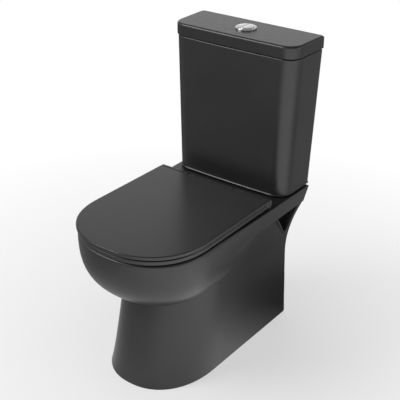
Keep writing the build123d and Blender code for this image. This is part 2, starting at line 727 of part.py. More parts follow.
BUTTON_TOP = LID_TOP + BEZEL_RISE + BUTTON_RISE
ROD_TOP = BUTTON_TOP - BUTTON_THICK
ROD_FOOT = TUBE_TOP + VALVE_LIFT + BUTTON_TRAVEL + ROD_ROOM
for side, name in ((1, "full"), (-1, "half")):
    with BuildPart() as button:
        with BuildSketch(Plane.XY.offset(ROD_TOP)):
            with Locations((0, VALVE_Y)):
                Circle(BUTTON_R)
                with Locations((BUTTON_SPLIT_X - side * (BUTTON_R - CLEAR), 0)):
                    Rectangle(2 * BUTTON_R, 3 * BUTTON_R, mode=Mode.SUBTRACT)
        extrude(amount=BUTTON_THICK)
        fillet(button.edges().group_by(Axis.Z)[-1], 1.5)
    finish(button, name + "_flush_button")
    round_stack(
        name + "_flush_rod",
        (ROD_FOOT, ROD_TOP, ROD_R),
        (ROD_FOOT, ROD_FOOT + ROD_END, ROD_END_R),
        at=[(side * ROD_X, VALVE_Y)],
    )

# ---- fill valve ----
fill_place = [(FILL_X, VALVE_Y)]
round_stack(
    "fill_valve_washer",
    (TANK_INSIDE, TANK_INSIDE + WASHER, FILL_WASHER_R),
    at=fill_place,
    bore=BSP_HALF_R + LOOSE,
)
round_stack(
    "fill_valve_riser",
    (TANK_FLOOR - TAIL_LENGTH, TANK_FLOOR - TAIL_LENGTH + TAIL_THREAD, BSP_HALF_R),
    (TANK_FLOOR - TAIL_LENGTH + TAIL_THREAD, TANK_INSIDE + WASHER, TAIL_NECK_R),
    (TANK_INSIDE + WASHER, VALVE_SEAT, FILL_WASHER_R - 1),
    (VALVE_SEAT, FILL_HEAD_LOW, RISER_R),
    at=fill_place,
    bore=5.0,
)
FILL_NUT = 9.0
with BuildPart() as fill_valve_nut:
    with BuildSketch(Plane.XY.offset(TANK_FLOOR - FILL_NUT)):
        with Locations((FILL_X, VALVE_Y)):
            RegularPolygon(16, 6)
            Circle(BSP_HALF_R + LOOSE, mode=Mode.SUBTRACT)
    extrude(amount=FILL_NUT)
finish(fill_valve_nut, "fill_valve_nut")

LEVER_HEIGHT = FILL_HEAD_LOW + 14
LEVER_X = FILL_X + 22
with BuildPart() as fill_valve_head:
    with BuildSketch(Plane.XY.offset(FILL_HEAD_LOW)):
        with Locations((FILL_X, VALVE_Y)):
            Circle(16)
    extrude(amount=FILL_HEAD)
    fillet(fill_valve_head.edges().group_by(Axis.Z)[-1], 3)
    # two ears hold the lever's pivot
    with BuildSketch(Plane.XZ.offset(-VALVE_Y - 8)):
        with Locations((LEVER_X, LEVER_HEIGHT)):
            RectangleRounded(16, 14, 3)
            Circle(2, mode=Mode.SUBTRACT)
    extrude(amount=16)
    with BuildSketch(Plane.XY.offset(FILL_HEAD_LOW)):
        with Locations((FILL_X + 26, VALVE_Y)):
            Rectangle(20, LEVER_WIDTH + 2 * CLEAR)
    extrude(amount=FILL_HEAD, mode=Mode.SUBTRACT)
finish(fill_valve_head, "fill_valve_head")

with BuildPart() as lever_pin:
    with BuildSketch(Plane.XZ.offset(-VALVE_Y - 8)):
        with Locations((LEVER_X, LEVER_HEIGHT)):
            Circle(2 - FIT)
    extrude(amount=16)
finish(lever_pin, "lever_pin")

with BuildPart() as fill_valve_lever:
    with BuildSketch(Plane.XZ.offset(-VALVE_Y - LEVER_WIDTH / 2)):
        with Locations((LEVER_X, LEVER_HEIGHT)):
            Circle(4.5)
        with Locations((LEVER_X + LEVER_LENGTH / 2, LEVER_HEIGHT)):
            Rectangle(LEVER_LENGTH, 4)
        with Locations((LEVER_X + LEVER_LENGTH, LEVER_HEIGHT)):
            Circle(LEVER_END_R)
        with Locations((LEVER_X, LEVER_HEIGHT)):
            Circle(2, mode=Mode.SUBTRACT)
    extrude(amount=LEVER_WIDTH)
finish(fill_valve_lever, "fill_valve_lever")

round_stack(
    "fill_valve_float",
    (FLOAT_LOW, FLOAT_LOW + FLOAT_HEIGHT, FLOAT_R),
    at=fill_place,
    bore=RISER_R + CLEAR,
)

# the link lies on the float and reaches up to the lever's end
FLOAT_TOP = FLOAT_LOW + FLOAT_HEIGHT
LINK_X = LEVER_X + LEVER_LENGTH
LINK_ROD_R = 2.5
LINK_RING = 5.0
LINK_THICK = 4.0
with BuildPart() as float_link:
    with BuildSketch(Plane.XY.offset(FLOAT_TOP)):
        with Locations(((FILL_X + LINK_X) / 2, VALVE_Y)):
            Rectangle(LINK_X - FILL_X + 2 * LINK_ROD_R, 4 * LINK_ROD_R)
        with Locations((FILL_X, VALVE_Y)):
            Circle(RISER_R + LINK_RING)
            Circle(RISER_R + CLEAR, mode=Mode.SUBTRACT)
    extrude(amount=LINK_THICK)
    with BuildSketch(Plane.XY.offset(FLOAT_TOP)):
        with Locations((LINK_X, VALVE_Y)):
            Circle(LINK_ROD_R)
    extrude(amount=LEVER_HEIGHT - LEVER_END_R - CLEAR - FLOAT_TOP)
finish(float_link, "float_link")

# ---- seat, cover and hinges ----
with BuildPart() as seat:
    with BuildSketch(Plane.XY.offset(SEAT_LOW)):
        add(nose_outline(SEAT_HALF, COVER_TIP_Y, SEAT_NOSE, HINGE_Y, SEAT_HALF - 1))
        with Locations((0, (SEAT_HOLE_FRONT_Y + SEAT_HOLE_REAR_Y) / 2)):
            Ellipse(SEAT_HOLE_HALF, (SEAT_HOLE_REAR_Y - SEAT_HOLE_FRONT_Y) / 2, mode=Mode.SUBTRACT)
    extrude(amount=SEAT_THICK)
    fillet(seat.edges().group_by(Axis.Z)[-1], SEAT_EDGE)
    with BuildSketch(Plane.YZ.offset(-SEAT_HALF + 1)):
        with Locations((HINGE_Y, HINGE_HEIGHT)):
            Circle(BAR_R)
    extrude(amount=2 * SEAT_HALF - 2)
    # slots for the hinge posts and the cover's lugs
    slot = POST_WIDTH + LUG_WIDTH + 4 * CLEAR
    for side in SIDES:
        with BuildSketch(Plane.XY.offset(SEAT_LOW - 1)):
            with Locations((side * (HINGE_X + LUG_WIDTH / 2), HINGE_Y + 4)):
                Rectangle(slot, 2 * BAR_R + 14)
        extrude(amount=2 * BAR_R + 4, mode=Mode.SUBTRACT)
    with BuildSketch(Plane.YZ.offset(-HINGE_X - SEAT_HALF / 2)):
        with Locations((HINGE_Y, HINGE_HEIGHT)):
            Circle(PIN_R + FIT)
    extrude(amount=2 * HINGE_X + SEAT_HALF, mode=Mode.SUBTRACT)
finish(seat, "seat")

COVER_REAR_Y = HINGE_Y - 5
LUG_X = HINGE_X + POST_WIDTH / 2 + CLEAR
LUG_ARM = 24.0
LUG_THICK = 8.0
LUG_Y = HINGE_Y - LUG_ARM / 2
LUG_HEIGHT = COVER_TOP - 1 - LUG_THICK / 2
with BuildPart() as cover:
    with BuildSketch(Plane.XY.offset(COVER_LOW)):
        add(nose_outline(SEAT_HALF, COVER_TIP_Y, SEAT_NOSE, COVER_REAR_Y, SEAT_HALF - 1))
    extrude(amount=COVER_THICK)
    fillet(cover.edges().group_by(Axis.Z)[-1].sort_by(Axis.Y)[:-1], COVER_EDGE)
    with BuildSketch(Plane.XY.offset(COVER_LOW)):
        inside_half = SEAT_HALF - COVER_RIM
        inside_nose = SEAT_NOSE - COVER_RIM
        add(
            nose_outline(
                inside_half,
                COVER_TIP_Y + COVER_RIM,
                inside_nose,
                COVER_REAR_Y - COVER_HEEL,
                inside_half - 1,
            )
        )
    extrude(amount=COVER_THICK - COVER_SHELL, mode=Mode.SUBTRACT)
    with BuildSketch(Plane.YZ.offset(-SEAT_HALF)):
        with Locations((HINGE_Y, HINGE_HEIGHT)):
            Circle(BAR_R + CLEAR)
    extrude(amount=2 * SEAT_HALF, mode=Mode.SUBTRACT)
    # pockets in the underside for the hinge lugs
    for side in SIDES:
        with BuildSketch(Plane.YZ.offset(side * LUG_X)):
            with Locations((LUG_Y, LUG_HEIGHT)):
                Rectangle(LUG_ARM, LUG_THICK)
        extrude(amount=side * LUG_WIDTH, mode=Mode.SUBTRACT)
finish(cover, "cover")

# a lug beside each hinge post is fixed in the cover and turns on the same pin
with BuildPart() as cover_lugs:
    for side in SIDES:
        with BuildSketch(Plane.YZ.offset(side * LUG_X)):
            with Locations((HINGE_Y, HINGE_HEIGHT)):
                Circle(BAR_R)
            with Locations((LUG_Y, LUG_HEIGHT)):
                Rectangle(LUG_ARM, LUG_THICK)
            with Locations((HINGE_Y, HINGE_HEIGHT)):
                Circle(PIN_R + FIT, mode=Mode.SUBTRACT)
        extrude(amount=side * LUG_WIDTH)
finish(cover_lugs, "cover_lugs")

seat_buffer_places = [(side * SEAT_BUFFER_X, y) for side in SIDES for y in (-95, 40)]
round_stack("seat_buffers", (PAN_TOP + CLEAR / 2, SEAT_LOW, SEAT_BUFFER_R), at=seat_buffer_places)
cover_buffer_places = [(side * COVER_BUFFER_X, y) for side in SIDES for y in (-120, 62)]
round_stack("cover_buffers", (SEAT_TOP + CLEAR / 2, COVER_TOP - COVER_SHELL, COVER_BUFFER_R), at=cover_buffer_places)

with BuildPart() as hinge_posts:
    for side in SIDES:
        with BuildSketch(Plane.XY.offset(PAN_TOP)):
            with Locations((side * HINGE_X, HINGE_Y)):
                Circle(HINGE_BASE_R)
        extrude(amount=HINGE_BASE)
        with BuildSketch(Plane.YZ.offset(side * HINGE_X - POST_WIDTH / 2)):
            with BuildLine():
                front = (HINGE_Y - POST_R, HINGE_HEIGHT)
                back = (HINGE_Y + POST_R, HINGE_HEIGHT)
                Polyline(front, (HINGE_Y - POST_R, PAN_TOP), (HINGE_Y + POST_R, PAN_TOP), back)
                ThreePointArc(back, (HINGE_Y, HINGE_HEIGHT + POST_R), front)
            make_face()
            with Locations((HINGE_Y, HINGE_HEIGHT)):
                Circle(PIN_R + FIT, mode=Mode.SUBTRACT)
        extrude(amount=POST_WIDTH)
finish(hinge_posts, "hinge_posts")

with BuildPart() as hinge_pins:
    for side in SIDES:
        inner = HINGE_X - POST_WIDTH / 2 - PIN_HOLD
        outer = HINGE_X + POST_WIDTH / 2 + LUG_WIDTH + PIN_HOLD
        with BuildSketch(Plane.YZ.offset(side * inner)):
            with Locations((HINGE_Y, HINGE_HEIGHT)):
                Circle(PIN_R)
        extrude(amount=side * (outer - inner))
finish(hinge_pins, "hinge_pins")

stud_places = [(side * HINGE_X, HINGE_Y) for side in SIDES]
round_stack("hinge_studs", (PAN_TOP - STUD_LENGTH, PAN_TOP, STUD_R), at=stud_places)
hinge_nut_top = DECK_INSIDE - WASHER
round_stack("hinge_washers", (hinge_nut_top, DECK_INSIDE, HINGE_WASHER_R), at=stud_places, bore=STUD_R + LOOSE)
round_stack(
    "hinge_nuts",
    (hinge_nut_top - HINGE_NUT, hinge_nut_top, HINGE_NUT_R),
    at=stud_places,
    bore=STUD_R + LOOSE,
)

# ---- floor fixings: brackets inside the skirt, and the screws through its sides ----
BRACKET_FACE_X = SKIRT_HALF - CHINA - BRACKET_ROOM
with BuildPart() as floor_brackets:
    for side in SIDES:
        with BuildSketch(Plane.XZ.offset(-SIDE_SCREW_Y - BRACKET_WIDTH / 2)):
            with BuildLine():
                Polyline(
                    (side * BRACKET_FACE_X, 0),
                    (side * BRACKET_FACE_X, BRACKET_HEIGHT),
                    (side * (BRACKET_FACE_X - BRACKET_WALL), BRACKET_HEIGHT),
                    (side * (BRACKET_FACE_X - BRACKET_WALL), BRACKET_WALL),
                    (side * (BRACKET_FACE_X - BRACKET_FOOT), BRACKET_WALL),
                    (side * (BRACKET_FACE_X - BRACKET_FOOT), 0),
                    close=True,
                )
            make_face()
        extrude(amount=BRACKET_WIDTH)
        with Locations((side * (BRACKET_FACE_X - BRACKET_FOOT / 2 - 3), SIDE_SCREW_Y, BRACKET_WALL)):
            Hole(FLOOR_HOLE_R, depth=BRACKET_WALL)
        with BuildSketch(Plane.YZ.offset(side * BRACKET_FACE_X)):
            with Locations((SIDE_SCREW_Y, SIDE_SCREW_HEIGHT)):
                Circle(SIDE_SCREW_R + LOOSE)
        extrude(amount=-side * BRACKET_WALL, mode=Mode.SUBTRACT)
finish(floor_brackets, "floor_brackets")

with BuildPart() as side_screws:
    for side in SIDES:
        with BuildSketch(Plane.YZ.offset(side * (BRACKET_FACE_X - SCREW_IN))):
            with Locations((SIDE_SCREW_Y, SIDE_SCREW_HEIGHT)):
                Circle(SIDE_SCREW_R)
        extrude(amount=side * (SCREW_IN + SCREW_OUT))
        with BuildSketch(Plane.YZ.offset(side * (BRACKET_FACE_X + SCREW_OUT))):
            with Locations((SIDE_SCREW_Y, SIDE_SCREW_HEIGHT)):
                Circle(SIDE_HOLE_R - CLEAR)
        extrude(amount=side * SCREW_HEAD)
finish(side_screws, "side_screws")
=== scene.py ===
import json
import math

import bmesh
import bpy
import numpy as np
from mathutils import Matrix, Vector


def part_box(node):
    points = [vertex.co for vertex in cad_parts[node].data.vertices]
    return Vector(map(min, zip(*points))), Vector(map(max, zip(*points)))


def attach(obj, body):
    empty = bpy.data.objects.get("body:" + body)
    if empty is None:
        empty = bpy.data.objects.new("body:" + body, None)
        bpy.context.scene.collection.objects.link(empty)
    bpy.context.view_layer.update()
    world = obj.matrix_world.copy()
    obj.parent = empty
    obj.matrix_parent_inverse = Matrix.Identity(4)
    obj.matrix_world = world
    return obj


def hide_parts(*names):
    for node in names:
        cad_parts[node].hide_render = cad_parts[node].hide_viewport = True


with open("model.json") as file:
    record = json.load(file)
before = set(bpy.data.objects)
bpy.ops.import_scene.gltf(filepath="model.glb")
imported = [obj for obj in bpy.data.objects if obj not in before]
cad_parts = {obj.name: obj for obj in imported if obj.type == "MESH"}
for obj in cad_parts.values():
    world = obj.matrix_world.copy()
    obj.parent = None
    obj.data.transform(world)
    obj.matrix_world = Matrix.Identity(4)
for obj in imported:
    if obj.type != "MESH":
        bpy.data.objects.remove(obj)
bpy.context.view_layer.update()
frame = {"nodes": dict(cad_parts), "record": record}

# ---- studio ----
# A pale seamless floor under soft light. Satin black shows its shape by what it mirrors, so broad
# panels hang behind and in front and the horizon is bright. The floor's mirrored glow is painted light,
# graded brighter to the right and dimmer towards the back, with a painted shadow spot by the pedestal.
FLOOR_SIZE = 14.0
FLOOR_COLOUR = (0.86, 0.86, 0.86, 1)
# the mirrored glow's brightest level, and the middle of the painted shadow spot in it
FLOOR_GLOW, FLOOR_PAINTED_SHADOW_PLACE = 1.6, (0.23, 0.34, 0.0)
FLOOR_SPANS = {  # start and end of each span in metres, and the level at both ends
    "fade": (0.25, 1.3, 0.55, 1.0),
    "right": (-0.5, 0.6, 0.33, FLOOR_GLOW),
    "back": (-0.05, 0.6, 1.0, 0.24),
    "shade": (0.08, 0.31, 0.10, 1.0),
}
CAMERA_PLACE = (1.2419, -1.5842, 1.4693)
CAMERA_TILT = math.radians(62.43)
CAMERA_TURN = math.radians(37.22)
CAMERA_LENS = 81.95
SKY_STOPS = ((0.0, 0.3), (0.49, 0.3), (0.51, 1.3), (0.55, 1.1), (0.63, 0.30), (1.0, 0.20))
PANELS = (  # name, place, point lit, width, height, watts
    ("back_panel", (-1.9, 2.6, 2.0), (0, 0, 0.5), 3.2, 1.8, 11),
    ("key_panel", (-2.0, -2.1, 2.7), (0, -0.1, 0.3), 2.0, 1.4, 85),
    ("right_edge_panel", (2.6, 0.9, 0.75), (0, 0, 0.45), 0.5, 1.4, 7),
    ("right_back_panel", (2.2, 2.8, 2.3), (0, 0, 0.5), 1.3, 1.0, 3),
)


def shader_graph(owner):
    """The empty node tree of a material or world, ready to be built."""
    owner.use_nodes = True
    owner.node_tree.nodes.clear()
    return owner.node_tree


def add_node(tree, kind, **values):
    """A new node; each value is a property or, failing that, an input's default."""
    node = tree.nodes.new(kind)
    for key, value in values.items():
        if hasattr(node, key):
            setattr(node, key, value)
        else:
            node.inputs[key.replace("_", " ")].default_value = value
    return node


def span_node(tree, start, end, low, high):
    """A node that maps a distance between two places to a level between two levels."""
    return add_node(tree, "ShaderNodeMapRange", From_Min=start, From_Max=end, To_Min=low, To_Max=high)


def join_up(tree, *pairs):
    """Links each output to the input beside it."""
    for start, end in pairs:
        tree.links.new(start, end)


def ramp_stops(node, stops):
    """Sets a colour ramp to grey stops, each a place and a brightness."""
    ramp = node.color_ramp
    while len(ramp.elements) < len(stops):
        ramp.elements.new(1.0)
    for element, (place, grey) in zip(ramp.elements, stops):
        element.position = place
        element.color = (grey, grey, grey, 1)


world = bpy.data.worlds.new("studio")
bpy.context.scene.world = world
sky = shader_graph(world)
sky_way = add_node(sky, "ShaderNodeTexCoord")
sky_axes = add_node(sky, "ShaderNodeSeparateXYZ")
sky_height = add_node(sky, "ShaderNodeMapRange", From_Min=-1.0, From_Max=1.0)
sky_ramp = add_node(sky, "ShaderNodeValToRGB")
ramp_stops(sky_ramp, SKY_STOPS)
sky_light = add_node(sky, "ShaderNodeBackground", Strength=1.0)
sky_seen = add_node(sky, "ShaderNodeBackground", Color=(1, 1, 1, 1), Strength=1.0)
sky_eye = add_node(sky, "ShaderNodeLightPath")
sky_mix = add_node(sky, "ShaderNodeMixShader")
sky_out = add_node(sky, "ShaderNodeOutputWorld")
join_up(
    sky,
    (sky_way.outputs["Generated"], sky_axes.inputs[0]),
    (sky_axes.outputs["Z"], sky_height.inputs["Value"]),
    (sky_height.outputs["Result"], sky_ramp.inputs["Fac"]),
    (sky_ramp.outputs["Color"], sky_light.inputs["Color"]),
    (sky_eye.outputs["Is Camera Ray"], sky_mix.inputs["Fac"]),
    (sky_light.outputs[0], sky_mix.inputs[1]),
    (sky_seen.outputs[0], sky_mix.inputs[2]),
    (sky_mix.outputs[0], sky_out.inputs["Surface"]),
)

floor_paint = bpy.data.materials.new("studio_floor")
graph = shader_graph(floor_paint)
floor_coords = add_node(graph, "ShaderNodeTexCoord")
floor_noise = add_node(graph, "ShaderNodeTexNoise", Scale=1.5, Detail=3.0)
floor_mix = add_node(graph, "ShaderNodeMix", data_type="RGBA")
floor_mix.inputs["A"].default_value = FLOOR_COLOUR
floor_mix.inputs["B"].default_value = tuple(0.98 * part for part in FLOOR_COLOUR[:3]) + (1,)
floor_shader = add_node(graph, "ShaderNodeBsdfPrincipled", Roughness=0.9)
floor_away = add_node(graph, "ShaderNodeVectorMath", operation="LENGTH")
floor_fade = span_node(graph, *FLOOR_SPANS["fade"])
floor_glow = add_node(graph, "ShaderNodeEmission", Strength=1.0)
floor_seen = add_node(graph, "ShaderNodeMixShader")
floor_axes = add_node(graph, "ShaderNodeSeparateXYZ")
# painted light: the glow that rays other than the camera's see grows brighter to the right and dimmer
# towards the back
floor_right = span_node(graph, *FLOOR_SPANS["right"])
floor_back = span_node(graph, *FLOOR_SPANS["back"])
floor_turned = add_node(graph, "ShaderNodeMath", operation="MULTIPLY")
# a painted shadow spot: the mirrored glow dims close to this place beside the pedestal
floor_shade = add_node(graph, "ShaderNodeVectorMath", operation="DISTANCE")
floor_shade.inputs[1].default_value = FLOOR_PAINTED_SHADOW_PLACE
floor_painted_shadow = span_node(graph, *FLOOR_SPANS["shade"])
floor_level = add_node(graph, "ShaderNodeMath", operation="MULTIPLY")
floor_painted_light = add_node(graph, "ShaderNodeEmission")
floor_eye = add_node(graph, "ShaderNodeLightPath")
floor_both = add_node(graph, "ShaderNodeMixShader")
floor_out = add_node(graph, "ShaderNodeOutputMaterial")
join_up(
    graph,
    (floor_coords.outputs["Object"], floor_noise.inputs["Vector"]),
    (floor_noise.outputs["Fac"], floor_mix.inputs["Factor"]),
    (floor_mix.outputs["Result"], floor_shader.inputs["Base Color"]),
    (floor_coords.outputs["Object"], floor_away.inputs[0]),
    (floor_away.outputs["Value"], floor_fade.inputs["Value"]),
    (floor_fade.outputs["Result"], floor_seen.inputs["Fac"]),
    (floor_shader.outputs[0], floor_seen.inputs[1]),
    (floor_glow.outputs[0], floor_seen.inputs[2]),
    (floor_coords.outputs["Object"], floor_axes.inputs[0]),
    (floor_axes.outputs["X"], floor_right.inputs["Value"]),
    (floor_coords.outputs["Object"], floor_shade.inputs[0]),
    (floor_shade.outputs["Value"], floor_painted_shadow.inputs["Value"]),
    (floor_axes.outputs["Y"], floor_back.inputs["Value"]),
    (floor_right.outputs["Result"], floor_turned.inputs[0]),
    (floor_back.outputs["Result"], floor_turned.inputs[1]),
    (floor_turned.outputs[0], floor_level.inputs[0]),
    (floor_painted_shadow.outputs["Result"], floor_level.inputs[1]),
    (floor_level.outputs[0], floor_painted_light.inputs["Strength"]),
    (floor_eye.outputs["Is Camera Ray"], floor_both.inputs["Fac"]),
    (floor_painted_light.outputs[0], floor_both.inputs[1]),
    (floor_seen.outputs[0], floor_both.inputs[2]),
    (floor_both.outputs[0], floor_out.inputs["Surface"]),
)

bpy.ops.mesh.primitive_plane_add(size=FLOOR_SIZE)
floor = bpy.context.object
floor.name = "studio_floor"
floor.data.materials.append(floor_paint)

for name, place, aim, width, height, watts in PANELS:
    lamp = bpy.data.lights.new(name, "AREA")
    lamp.shape = "RECTANGLE"
    lamp.size = width
    lamp.size_y = height
    lamp.energy = watts
    panel = bpy.data.objects.new(name, lamp)
    panel.location = place
    way = panel.location - type(panel.location)(aim)
    panel.rotation_euler = way.to_track_quat("Z", "Y").to_euler()
    panel.visible_camera = False
    bpy.context.scene.collection.objects.link(panel)

camera = bpy.data.objects.new("camera", bpy.data.cameras.new("camera"))
camera.data.lens = CAMERA_LENS
camera.location = CAMERA_PLACE
camera.rotation_euler = (CAMERA_TILT, 0, CAMERA_TURN)
bpy.context.scene.collection.objects.link(camera)
bpy.context.scene.camera = camera
bpy.context.scene.view_settings.view_transform = "Standard"

# ---- pan ----
# The pan is one piece of vitreous china, slip cast hollow with a wall of about 11 mm, glazed in
# satin black and fired. Its skirt stands on the floor, open at the foot and at the back.
CHINA = 0.011
PAN_LOW, PAN_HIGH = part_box("pan")
PAN_TOP = PAN_HIGH.z
RIM_HALF, RIM_TIP, RIM_NOSE = 0.175, PAN_LOW.y, 0.168
BOWL_LOW, BOWL_LOW_HALF, BOWL_LOW_TIP, BOWL_LOW_NOSE = 0.237, 0.094, -0.190, 0.120
BOWL_DROP_POWER, BOWL_BULGE_POWER = 2.92, 1.74
DECK_REAR, DECK_HALF = PAN_HIGH.y, PAN_HIGH.x
DECK_LOW, DECK_LOW_HALF = 0.350, 0.166
SKIRT_HALF, SKIRT_TIP, SKIRT_NOSE, SKIRT_REAR = 0.138, -0.244, 0.176, 0.264
NECK, NECK_HALF, NECK_TIP, NECK_NOSE, NECK_POWER = 0.240, 0.130, -0.179, 0.150, 0.8
FLARE_LOW, FLARE_STEP = 0.185, 0.001
SWEEP_FRONT, SWEEP_REAR, SWEEP_FOOT, SWEEP_POWER = -0.060, 0.075, 0.231, 2.05
NECK_LEDGE, NECK_FILLET, COVE = 0.002, 0.007, 0.040
NOSE_POWER = 2.25
DECK_CORNER = 0.007
RIM_EDGE, BASIN_EDGE, SWEEP_EDGE, FOOT_EDGE = 0.008, 0.009, 0.0018, 0.003
OPEN_BACK, OPEN_BACK_TOP = 0.040, 0.250
BASIN_HALF, BASIN_FRONT, BASIN_BACK, BASIN_POWER = 0.122, -0.262, 0.052, 1.9
SUMP_FLOOR, SUMP_R, SUMP_Y = 0.160, 0.040, 0.002
TRAP_BORE, TRAP_WALL, TRAP_BEND = 0.031, 0.009, 0.045
OUTLET_R, OUTLET_HEIGHT, OUTLET_END, OUTLET_LENGTH = 0.051, 0.185, 0.283, 0.050
VALVE_Y = 0.240
DUCT_HALF, DUCT_FLOOR, DUCT_ROOF, INLET_R = 0.034, 0.350, 0.380, 0.034
SOCKET_R, SOCKET_DEPTH = 0.048, 0.017
HINGE_X, HINGE_Y, STUD_HOLE_R = 0.0725, 0.110, 0.007
BOLT_X, BOLT_HOLE_R = 0.074, 0.006
FILL_X, FILL_HOLE_R = -0.107, 0.0185
SIDE_SCREW_Y, SIDE_SCREW_HEIGHT, SIDE_HOLE_R = 0.207, 0.036, 0.0055
OPENING_FRONT = ((0.170, 0.3501), (0.181, 0.335), (0.197, 0.316), (0.220, 0.289), (0.243, 0.262))
OPENING_REAR = ((0.2525, 0.276), (0.2585, 0.300), (0.2635, 0.324), (0.2695, 0.3501))
LIP_R = 0.0046
SIDES = (-1, 1)

side_turn = np.concatenate(
    [
        np.arange(0, 118, 2.0),
        np.arange(118, 128, 0.5),
        np.arange(128, 130, 1.0),
        np.arange(130, 156, 0.5),
        np.arange(156, 181, 3.0),
    ]
)
turn = np.radians(np.concatenate([side_turn, 360 - side_turn[-2:0:-1]]))
ACROSS, ALONG = np.sin(turn), -np.cos(turn)


def soft_least(one, other, reach):
    """The lesser of two distances, rounded off where they cross."""
    mix = np.clip(0.5 + 0.5 * (other - one) / reach, 0, 1)
    return other * (1 - mix) + one * mix - reach * mix * (1 - mix)


def outline_reach(half, tip, nose, rear, rear_half, rear_corner=DECK_CORNER):
    """Distance from the centre line to a plan outline, along every spoke.
    The outline has straight sides, a flat back and a superelliptic nose."""
    across, shoulder = np.abs(ACROSS), tip + nose
    slope = (rear_half - half) / (rear - shoulder)
    closing = across - slope * ALONG
    side = np.where(closing > 1e-6, (half - slope * shoulder) / np.maximum(closing, 1e-6), 9.0)
    low, high = np.zeros_like(turn), np.full_like(turn, 2.0)
    for _ in range(45):
        middle = (low + high) / 2
        ahead = np.maximum(shoulder - ALONG * middle, 0) / nose
        outside = (across * middle / half) ** NOSE_POWER + ahead**NOSE_POWER > 1
        high = np.where(outside, middle, high)
        low = np.where(outside, low, middle)
    edge = np.where(side * ALONG >= shoulder, side, low)
    back = np.where(ALONG > 1e-6, rear / np.maximum(ALONG, 1e-6), 9.0)
    return soft_least(edge, back, rear_corner)


def bowl_reach(height, inset=0.0):
    """Reach of the bowl and deck at a height, or at one height for each spoke."""
    share = np.clip((PAN_TOP - height) / (PAN_TOP - BOWL_LOW), 0, 1)
    bulge = (1 - share**BOWL_DROP_POWER) ** (1 / BOWL_BULGE_POWER)
    half = BOWL_LOW_HALF + (RIM_HALF - BOWL_LOW_HALF) * bulge
    tip = BOWL_LOW_TIP + (RIM_TIP - BOWL_LOW_TIP) * bulge
    nose = BOWL_LOW_NOSE + (RIM_NOSE - BOWL_LOW_NOSE) * bulge
    above = np.clip((height - DECK_LOW) / (PAN_TOP - DECK_LOW), 0, 1)
    deck = DECK_LOW_HALF + (DECK_HALF - DECK_LOW_HALF) * above
    deck = np.where(above > 0, deck, np.minimum(half, DECK_LOW_HALF))
    return outline_reach(half - inset, tip + inset, nose - inset, DECK_REAR - inset, deck - inset)


def skirt_plan(height):
    """Half width, tip, nose, rear and rear half width of the skirt, which widens to the deck."""
    share = np.clip(height / NECK, 0, 1)
    flare = np.clip((height - FLARE_LOW) / (DECK_LOW - FLARE_LOW), 0, 1) ** 2
    half = SKIRT_HALF + (NECK_HALF - SKIRT_HALF) * share
    rear_half = half + (DECK_LOW_HALF - FLARE_STEP - half) * flare
    tip = SKIRT_TIP + (NECK_TIP - SKIRT_TIP) * share**NECK_POWER
    nose = SKIRT_NOSE + (NECK_NOSE - SKIRT_NOSE) * share
    rear = SKIRT_REAR + (DECK_REAR - FLARE_STEP - SKIRT_REAR) * flare
    return half, tip, nose, rear, rear_half


def skirt_reach(height, inset=0.0, back=0.0):
    """Reach of the skirt, smaller all round by an inset, or drawn out at its back."""
    half, tip, nose, rear, rear_half = skirt_plan(height)
    rear = rear + (back or -inset)
    return outline_reach(half - inset, tip + inset, nose - inset, rear, rear_half - inset)


def sweep_height(y):
    """Side view of the edge that runs from under the deck forward and down to the skirt."""
    share = np.clip((SWEEP_REAR - y) / (SWEEP_REAR - SWEEP_FRONT), 0, 1)
    swept = SWEEP_FOOT + (DECK_LOW - SWEEP_FOOT) * (1 - share**SWEEP_POWER) ** (1 / SWEEP_POWER)
    return np.where(y < SWEEP_FRONT, 0.0, swept)


def corner(before, point, after, radius, steps=4):
    """Rows that round off a corner between three rows of points."""
    ways = []
    for other in (before, after):
        way = other - point
        length = np.maximum(np.linalg.norm(way, axis=1, keepdims=True), 1e-9)
        ways.append(point + way / length * np.minimum(radius, length * 0.45))
    rows = []
    for step in np.linspace(0, 1, steps + 1):
        rows.append((1 - step) ** 2 * ways[0] + 2 * step * (1 - step) * point + step**2 * ways[1])
    return rows


def row(reach, height):
    """One row of a spoked shell: a reach and a height for every spoke."""
    return np.stack(np.broadcast_arrays(reach + 0 * turn, height + 0 * turn), axis=1)


def pan_sides(inset=0.0):
    """Rows from the rim down the bowl, round its lower edge, under it and down the skirt."""
    low, high = np.full_like(turn, BOWL_LOW), np.full_like(turn, PAN_TOP)
    for _ in range(30):
        middle = (low + high) / 2
        reach = bowl_reach(middle)
        proud = (reach - skirt_reach(middle) > NECK_LEDGE) | (middle > DECK_LOW)
        free = proud & (middle > sweep_height(reach * ALONG))
        high = np.where(free, middle, high)
        low = np.where(free, low, middle)
    edge = np.minimum(high, DECK_LOW)
    top = PAN_TOP - inset
    rows = []
    for share in np.sin(np.linspace(0, math.pi / 2, 26)):
        height = top + (edge + inset - top) * share
        rows.append(row(bowl_reach(height, inset), height))
    point = rows.pop()
    gap = np.maximum(point[:, 0] - skirt_reach(edge, inset), 0.0)
    fall = np.clip(gap, NECK_FILLET, COVE)
    tuck = row(skirt_reach(edge, inset), edge + inset)
    joint = row(skirt_reach(edge - fall, inset), edge - fall)
    under = []
    for step in np.linspace(0, 1, 11)[1:]:
        under.append((1 - step) ** 2 * point + 2 * step * (1 - step) * tuck + step**2 * joint)
    radius = np.clip(gap[:, None] / 4, 0.0004, SWEEP_EDGE)
    rows += [point] if inset else corner(rows[-1], point, under[0], radius)
    rows += under
    for share in np.linspace(0, 1, 27)[1:]:
        height = (edge - fall) * (1 - share) - inset * share
        rows.append(row(skirt_reach(height, inset), height))
    return rows


def oval_reach(half, length, middle):
    """Reach of an oval by its half width and half length, with its middle off the spokes' own."""
    squares = (ACROSS / half) ** 2 + (ALONG / length) ** 2
    lean = ALONG * middle / length**2
    return (lean + np.sqrt(lean**2 - squares * ((middle / length) ** 2 - 1))) / squares


